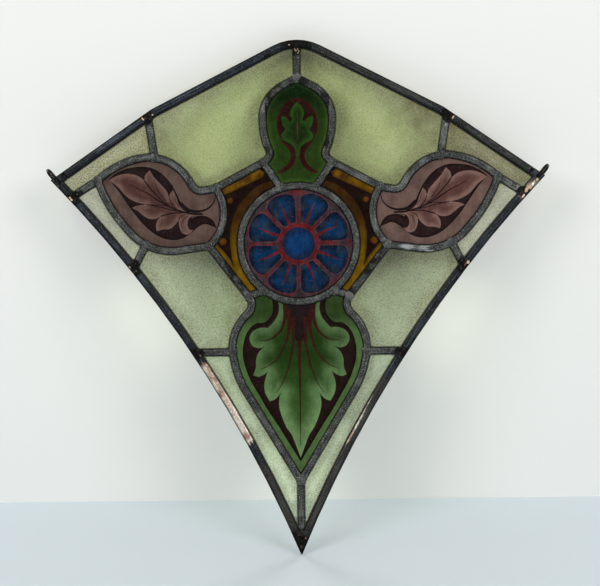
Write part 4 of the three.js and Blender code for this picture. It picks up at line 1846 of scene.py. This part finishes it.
@dataclass
class PaintedTopLeaf:
    """The upper pane over the roundel: a small leaf inside a dark looped ribbon on deep green."""

    finishes: Finishes
    lead: LeadWork
    spacing: float = 1.3
    field_wash: Wash = Wash(tone(66, 96, 34), tone(40, 62, 20), 7.0, tone(12, 36, 5), 40.0, 68.0, 0.5)
    ribbon: Wash = Wash(tone(60, 20, 18), tone(40, 17, 14), 3.0)
    leaf: Wash = Wash(tone(42, 76, 24), tone(26, 48, 14), 5.0)
    rib: Wash = Wash(tone(72, 56, 34), tone(64, 46, 28), 1.0)
    vein: Wash = Wash(tone(46, 42, 20), tone(46, 42, 20), 1.0)
    ribbon_edge: tuple[Stroke, ...] = (
        ((0, 64.5),),
        ((6.4, 62.2), (12.5, 56.9), (16, 50), (17.6, 43.1), (17, 35), (13.6, 27.6), (9.3, 21.6),
         (6.4, 17.3), (6.4, 12.1), (9, 7), (13.8, 2.7), (19, -0.3)),
        ((13, -0.1), (6.9, 3.2), (3, 7.8), (1.4, 13.8), (1.4, 18.9)),
        ((0, 21.5),),
    )
    leaf_edge: tuple[Stroke, ...] = (
        ((0, 60.6),),
        ((3.5, 56.8), (6.1, 51.2), (4.4, 45.6), (6.6, 43.5)),
        ((9.1, 47), (13.4, 48.7)),
        ((13.4, 44.5), (12.2, 40), (10.4, 37.2), (13.6, 32.6)),
        ((12.4, 28.4), (8.2, 25.8), (4.4, 23.6), (2.2, 20), (1.6, 14.4)),
    )
    rib_line: BrushLine = BrushLine(((0, 51.6), (0, 40.4), (0, 27.5)), (0.4, 1.2, 0.6))
    vein_lines: tuple[Stroke, ...] = (
        ((0.4, 24), (3.6, 28.2), (9.6, 32.2)), ((0.3, 30.5), (3.2, 34.2), (7.2, 38.0)),
        ((0.3, 36.5), (3.4, 41.2), (9.4, 45.2)), ((0.2, 43.5), (1.4, 46.6), (3.2, 50.0)),
    )
    vein_widths: tuple[float, float, float] = (0.9, 0.7, 0.3)

    def build(self) -> None:
        """Makes the upper leaf's pane."""
        veins = [BrushLine(line, self.vein_widths).outline() for line in self.vein_lines]
        areas = [
            PaintedArea(WHOLE, self.field_wash),
            PaintedArea(symmetric(*self.ribbon_edge), self.ribbon),
            PaintedArea(symmetric(*self.leaf_edge), self.leaf),
            *(PaintedArea(line, self.vein) for line in (*veins, *(mirrored(line) for line in veins))),
            PaintedArea(self.rib_line.outline(), self.rib),
        ]
        Pane("glass_top_leaf", self.spacing, self.lead).build(
            "painted_top_leaf", "glass_green", self.finishes.top_leaf_paint, areas)


@dataclass
class AmberSides:
    """The two amber pieces beside the roundel: stained bands and dots on a dark brown ground."""

    finishes: Finishes
    lead: LeadWork
    spacing: float = 1.5
    ground: Wash = Wash(tone(26, 12, 6), tone(40, 20, 13), 4.0)
    band: Wash = Wash(tone(104, 76, 0), tone(150, 112, 0), 2.5, tone(80, 50, 0), -72.0, -36.0)
    strip: Wash = Wash(tone(108, 74, 0), tone(146, 104, 0), 2.5, stain=tone(104, 70, 0))
    dot: Wash = Wash(tone(100, 58, 0), tone(128, 80, 0), 2.0)
    strip_edge: tuple[Stroke, ...] = (
        ((33.6, 4.6),), ((28.4, 0.2),), ((30.2, -3.6),), ((64.4, -19.6),), ((69.8, -11.5),),
    )
    band_edge: tuple[Stroke, ...] = (
        ((32, -10.1), (40.6, -16), (48.4, -24.6), (54.5, -34.8), (58.2, -47.7), (58.8, -60.6),
         (57.8, -70.1), (56.2, -79.5)),
        ((60, -72.6), (66.8, -64.4), (70.6, -60.1)),
        ((75, -63.9),),
        ((43, -105),),
        ((36.1, -101.2),),
        ((46.3, -85.6), (51.4, -71), (52.1, -56.3), (48.5, -39.2), (40.7, -26.3), (30.3, -16.1),
         (20.8, -11)),
        ((23.3, -7.1),),
    )
    dots: tuple[Dot, ...] = (Dot(58.4, -23.6, 2.5), Dot(65, -58.8, 3.2))
    dot_sides: int = 24

    def areas(self) -> list[PaintedArea]:
        """Returns the right piece's painted areas."""
        dots = [disc((dot.x, dot.z), dot.radius, self.dot_sides) for dot in self.dots]
        return [
            PaintedArea(WHOLE, self.ground),
            PaintedArea(outline(*self.band_edge), self.band),
            PaintedArea(outline(*self.strip_edge), self.strip),
            *(PaintedArea(dot, self.dot) for dot in dots),
        ]

    def build(self) -> None:
        """Makes both amber pieces."""
        for hand, areas in both_hands(self.areas()).items():
            Pane(f"glass_amber_{hand.word}", self.spacing, self.lead).build(
                f"amber_side_{hand.word}", "glass_amber", self.finishes.amber_paint, areas)


@dataclass
class PaintedRoundel:
    """The roundel: a blue boss in a red ring, with eight blue petals on a mauve and red ground."""

    finishes: Finishes
    lead: LeadWork
    spacing: float = 1.4
    centre: Point = (0, -61.1)
    boss_radius: float = 14.1
    ring_radius: float = 17.4
    petal_count: int = 8
    first_petal: float = 22.5
    petal_start: float = 18.0
    petal_end: float = 44.6
    petal_half_width: float = 12.7
    line_width: float = 0.7
    petal_stations: tuple[Span, ...] = (
        (0.0, 0.44), (0.2, 0.60), (0.42, 0.80), (0.66, 0.98), (0.82, 0.94), (0.94, 0.62), (1.0, 0.0),
    )
    petal_step: float = 1.4
    petal_unevenness: float = 0.09
    petal_swell_size: float = 0.7
    petal_turn: float = 2.5
    petal_turn_size: float = 31.0
    spike_width: float = 3.2
    spike_end: float = 38.0
    gap_spike_width: float = 2.2
    gap_spike_end: float = 31.0
    spike_root: float = 1.0
    spike_bend: float = 1.2
    spike_waist: float = 0.55
    spike_point: float = 0.4
    ground: Wash = Wash(tone(80, 62, 66), tone(70, 58, 64), 5.0, stain=tone(104, 44, 48), stain_size=11.0,
                        stain_level=0.3)
    rim_line: Wash = Wash(tone(98, 66, 70), tone(98, 66, 70), 2.0, stain=tone(124, 42, 46), stain_size=9.0)
    red_line: Wash = Wash(tone(112, 35, 39), tone(112, 35, 39), 2.0, stain=tone(88, 44, 48),
                          stain_size=6.0, stain_level=0.2)
    petal: Wash = Wash(tone(14, 28, 50), tone(10, 57, 96), 6.5, stain=tone(38, 56, 76), stain_size=8.0,
                       stain_level=0.2)
    boss: Wash = Wash(tone(24, 44, 76), tone(8, 63, 114), 8.0)

    def at(self, radius: float, degrees: float) -> Point:
        """Returns a place on the roundel from its radius and direction."""
        angle = math.radians(degrees)
        return (self.centre[0] + radius * math.cos(angle), self.centre[1] + radius * math.sin(angle))

    def petal_outline(self, direction: float, grow: float, seed: float) -> np.ndarray:
        """Returns a petal's outline.

        Args:
            direction: Where it points, in degrees.
            grow: How much larger than the blue it is, in millimetres.
            seed: Makes the hand-painted shape differ from its neighbours'.

        Returns:
            The closed outline.
        """
        start, end = self.petal_start - grow, self.petal_end + grow
        right, left = [], []
        for share, width in self.petal_stations:
            radius = start + (end - start) * share
            half = self.petal_half_width * width + (grow if share < 1 else 0)
            half *= 1 + self.petal_unevenness * wobble(seed, share, self.petal_swell_size)
            turn = math.degrees(math.atan2(half, radius))
            reach = math.hypot(half, radius)
            right.append(self.at(reach, direction - turn))
            left.append(self.at(reach, direction + turn))
        return smooth_line([*right, *left[-2::-1]], self.petal_step)

    def spike(self, direction: float, start_width: float, end: float) -> np.ndarray:
        """Returns a red spike that runs out from the ring, along a petal or between two.

        Args:
            direction: Where it points, in degrees.
            start_width: Its width at the ring.
            end: The radius of its point.

        Returns:
            The closed outline.
        """
        middle = (self.ring_radius + end) / 2
        points = (
            self.at(self.ring_radius - self.spike_root, direction),
            self.at(middle, direction + self.spike_bend),
            self.at(end, direction),
        )
        return BrushLine(points, (start_width, start_width * self.spike_waist, self.spike_point)).outline()

    def areas(self) -> list[PaintedArea]:
        """Returns the roundel's painted areas."""
        apart = 360 / self.petal_count
        directions = [self.first_petal + apart * i for i in range(self.petal_count)]
        directions = [d + self.petal_turn * wobble(d, 0, self.petal_turn_size) for d in directions]
        areas = [PaintedArea(WHOLE, self.ground)]
        for grow, wash in ((self.line_width, self.rim_line), (0.0, self.petal)):
            for index, direction in enumerate(directions):
                areas.append(PaintedArea(self.petal_outline(direction, grow, index), wash))
        for direction in directions:
            for turn, width, end in (
                (apart / 2, self.gap_spike_width, self.gap_spike_end),
                (0.0, self.spike_width, self.spike_end),
            ):
                areas.append(PaintedArea(self.spike(direction + turn, width, end), self.red_line))
        for radius, wash in ((self.ring_radius, self.red_line), (self.boss_radius, self.boss)):
            areas.append(PaintedArea(disc(self.centre, radius), wash))
        return areas

    def build(self) -> None:
        """Makes the roundel's pane."""
        Pane("glass_roundel", self.spacing, self.lead).build(
            "painted_roundel", "glass_blue", self.finishes.roundel_paint, self.areas())


@dataclass(frozen=True)
class PalePair:
    """A pair of clear panes: their name, their glass, and the film of dirt on the right and the left."""

    name: str
    kind: PaleKind
    film_right: float
    film_left: float

    def film(self, hand: Hand) -> float:
        """Returns the film of dirt on one hand's pane."""
        return self.film_right if hand is Hand.RIGHT else self.film_left


@dataclass
class PalePanes:
    """The pale clear panes round the painted ones."""

    finishes: Finishes
    lead: LeadWork
    spacing: float = 2.2
    pairs: tuple[PalePair, ...] = (
        # The upper panes wear glass with painted shade in its tint, the lower panes and side strips glass
        # with painted light.
        PalePair("upper_pane", PaleKind.WARM, 0.1, 0.04),
        PalePair("corner_strip", PaleKind.GRAINY, 0.46, 0.06),
        PalePair("side_strip", PaleKind.LIGHT, 0.0, 0.04),
        PalePair("lower_pane", PaleKind.COOL, 0.12, 0.04),
        PalePair("bottom_strip", PaleKind.GREEN, 0.08, 0.0),
    )
    # Spots of dirt, and at (-95, 37) and (38, 62) painted shadows of nearby leads.
    dirty_spots: tuple[DirtySpot, ...] = (
        DirtySpot(108, 52, 24, 0.6), DirtySpot(83, -73, 13, 0.4), DirtySpot(129, -69, 14, 0.35),
        DirtySpot(8, 96, 14, 0.25), DirtySpot(-12, 98, 18, 0.2), DirtySpot(-120, 40, 14, 0.2),
        DirtySpot(-80, -72, 12, 0.2), DirtySpot(-95, 37, 22, 0.12), DirtySpot(38, 62, 14, 0.14),
    )

    def build(self) -> None:
        """Makes all the pale panes."""
        for pair in self.pairs:
            for hand in Hand:
                pane = Pane(f"glass_{pair.name}_{hand.word}", self.spacing, self.lead)
                glass = self.finishes.pale[pair.kind]
                piece = pane.build(f"clear_{pair.name}_{hand.word}", "glass_pale", glass, [])
                pane.lay_film(piece.data, pair.film(hand), self.dirty_spots)


# Loops


@dataclass
class HangingLoops:
    """The wire hairpins soldered over the upper corners."""

    finishes: Finishes
    wire_radius: float = 1.2
    eye: Point = (211.8, 0.0)
    lean: float = 50.5
    lateral: float = 1.5
    leg: float = 9.9
    bend_centre: float = 0.3
    clearance: float = 0.3
    sides: int = 16
    bend_steps: int = 28

    def build(self) -> None:
        """Makes both loops."""
        for hand in Hand:
            self.loop(hand)

    def loop(self, hand: Hand) -> None:
        """Makes one loop: a leg, a half turn and a leg, swept from one round section.

        Args:
            hand: The panel's hand it stands on.
        """
        angle = math.radians(self.lean)
        out = Vector((hand * math.cos(angle), 0, math.sin(angle)))
        side = Vector((hand * math.sin(angle), 0, -math.cos(angle)))
        across = side * self.lateral + Vector((0, BORDER_FACE + self.clearance + self.wire_radius, 0))
        centre = Vector((hand * self.eye[0], 0, self.eye[1])) + out * self.bend_centre
        shape = bmesh.new()
        bmesh.ops.create_circle(shape, cap_ends=True, segments=self.sides, radius=self.wire_radius * MM)
        turn = Vector((0, 0, 1)).rotation_difference(out).to_matrix().to_4x4()
        foot = centre - across - out * self.leg
        bmesh.ops.transform(shape, matrix=Matrix.Translation(foot * MM) @ turn, verts=shape.verts)
        shape.faces.ensure_lookup_table()
        end = self.pull(shape, shape.faces[0], first=True)
        bmesh.ops.translate(shape, verts=end.verts[:], vec=out * self.leg * MM)
        bend = Matrix.Rotation(-math.pi / self.bend_steps, 3, across.cross(out).normalized())
        for _ in range(self.bend_steps):
            end = self.pull(shape, end)
            bmesh.ops.rotate(shape, verts=end.verts[:], cent=centre * MM, matrix=bend)
        end = self.pull(shape, end)
        bmesh.ops.translate(shape, verts=end.verts[:], vec=-out * self.leg * MM)
        bmesh.ops.recalc_face_normals(shape, faces=shape.faces)
        piece = finished_object(
            f"wire_loop_{hand.word}", shape, self.finishes.wire, "wire", f"loop_{hand.word}")
        for polygon in piece.data.polygons:
            polygon.use_smooth = len(polygon.vertices) == 4

    @staticmethod
    def pull(shape: BMesh, end: BMFace, first: bool = False) -> BMFace:
        """Extrudes the wire's end.

        Args:
            shape: The wire so far.
            end: The face that ends it.
            first: True for the first pull, which leaves the face behind as the wire's other end.

        Returns:
            The new end, still at the old one's place.
        """
        if first:
            made = bmesh.ops.extrude_face_region(shape, geom=[end], use_keep_orig=True)["geom"]
        else:
            made = bmesh.ops.extrude_discrete_faces(shape, faces=[end])["faces"]
        return next(item for item in made if isinstance(item, BMFace))


# Stage


@dataclass(frozen=True)
class Lamp:
    """A broad soft light: its name, its place in millimetres, its width in metres and its power."""

    name: str
    place: tuple[float, float, float]
    width: float
    power: float


@dataclass
class Stage:
    """A plain wall and floor, soft light and the camera at the photograph's angle."""

    lean: float = 15.1
    apex_gap: float = 12.0
    apex_height: float = 119.4
    tip_height: float = -329.3
    half_width: float = 3000.0
    wall_height: float = 2400.0
    floor_depth: float = 2600.0
    wall_colour: Colour = (0.86, 0.87, 0.86)
    floor_colour: Colour = (0.50, 0.56, 0.60)
    room_colour: Colour = (0.99, 1.0, 0.98)
    room_light: float = 0.32
    lamp_colour: Colour = (1.0, 0.98, 0.95)
    lamp_target: tuple[float, float, float] = (0, 0, -100)
    lamps: tuple[Lamp, ...] = (
        Lamp("window_left", (-930, -1450, 560), 0.8, 15.0),
        Lamp("window_right", (1000, -1450, 480), 0.8, 13.5),
        Lamp("back_left", (-1500, 1900, 900), 1.2, 45.0),
        Lamp("back_right", (1500, 1900, 900), 1.2, 45.0),
    )
    camera_distance: float = 1500.0
    frame_width: float = 516.0
    view_centre: Point = (0.8, -103.6)
    camera_roll: float = 0.6
    sensor: float = 36.0
    clip_end: float = 50.0

    def __post_init__(self) -> None:
        """Works out how the wall slopes and where it meets the floor."""
        lean = math.radians(self.lean)
        self.up = Vector((0, -math.sin(lean), math.cos(lean)))
        self.away = Vector((0, math.cos(lean), math.sin(lean)))
        top = Vector((0, self.apex_gap, self.apex_height))
        tip = Vector((0, 0, self.tip_height))
        self.foot = top - self.up * (top - tip).dot(self.up)

    def build(self) -> None:
        """Makes the wall, the floor, the lights and the camera."""
        wall = PlainFinish("plain_wall", self.wall_colour, True)
        self.sheet("wall", self.up * self.wall_height, -self.away, wall)
        floor = PlainFinish("plain_floor", self.floor_colour)
        self.sheet("floor", -self.away * self.floor_depth, self.up, floor)
        self.light_world()
        self.lights()
        self.camera()

    def sheet(self, name: str, reach: Vector, towards: Vector, finish: PlainFinish) -> None:
        """Makes one flat sheet that starts along the line where the wall meets the floor.

        Args:
            name: The sheet's name.
            reach: How far it runs from that line, and which way.
            towards: The way its face looks.
            finish: What it wears.
        """
        shape = bmesh.new()
        across = Vector((self.half_width, 0, 0))
        near = [self.foot - across, self.foot + across]
        corners = [*near, *(corner + reach for corner in near[::-1])]
        face = shape.faces.new([shape.verts.new(corner * MM) for corner in corners])
        face.normal_update()
        if face.normal.dot(towards) < 0:
            face.normal_flip()
        plain_object(name, shape, finish.material())

    def light_world(self) -> None:
        """Fills the room with even pale light."""
        world = bpy.data.worlds.new("pale_room")
        world.use_nodes = True
        background = world.node_tree.nodes["Background"]
        background.inputs["Color"].default_value = (*self.room_colour, 1.0)
        background.inputs["Strength"].default_value = self.room_light
        bpy.context.scene.world = world

    def lights(self) -> None:
        """Hangs two broad windows in front and two behind."""
        target = Vector(self.lamp_target) * MM
        for lamp in self.lamps:
            data = bpy.data.lights.new(lamp.name, "AREA")
            data.size = lamp.width
            data.energy = lamp.power
            data.color = self.lamp_colour
            made = bpy.data.objects.new(lamp.name, data)
            made.location = Vector(lamp.place) * MM
            made.rotation_euler = (target - made.location).to_track_quat("-Z", "Y").to_euler()
            bpy.context.scene.collection.objects.link(made)

    def camera(self) -> None:
        """Looks straight at the panel, with the photograph's small roll."""
        data = bpy.data.cameras.new("camera")
        data.sensor_width = self.sensor
        data.lens = self.sensor * self.camera_distance / self.frame_width
        data.clip_end = self.clip_end
        eye = bpy.data.objects.new("camera", data)
        x, z = self.view_centre
        eye.location = (x * MM, -self.camera_distance * MM, z * MM)
        eye.rotation_euler = (math.pi / 2, math.radians(self.camera_roll), 0)
        bpy.context.scene.collection.objects.link(eye)
        bpy.context.scene.camera = eye
        bpy.context.scene.view_settings.view_transform = "Standard"


def main() -> None:
    """Builds the panel and its stage in order."""
    logging.basicConfig(level=logging.INFO, format="%(message)s")
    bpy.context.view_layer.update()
    finishes = Finishes()
    lead = LeadWork(finishes)
    lead.build()
    SolderWork(finishes).build()
    for glass in (PalePanes, PaintedLobes, PaintedTopLeaf, PaintedBottomLeaf, AmberSides, PaintedRoundel):
        glass(finishes, lead).build()
    HangingLoops(finishes).build()
    Stage().build()


if __name__ == "__main__":
    main()
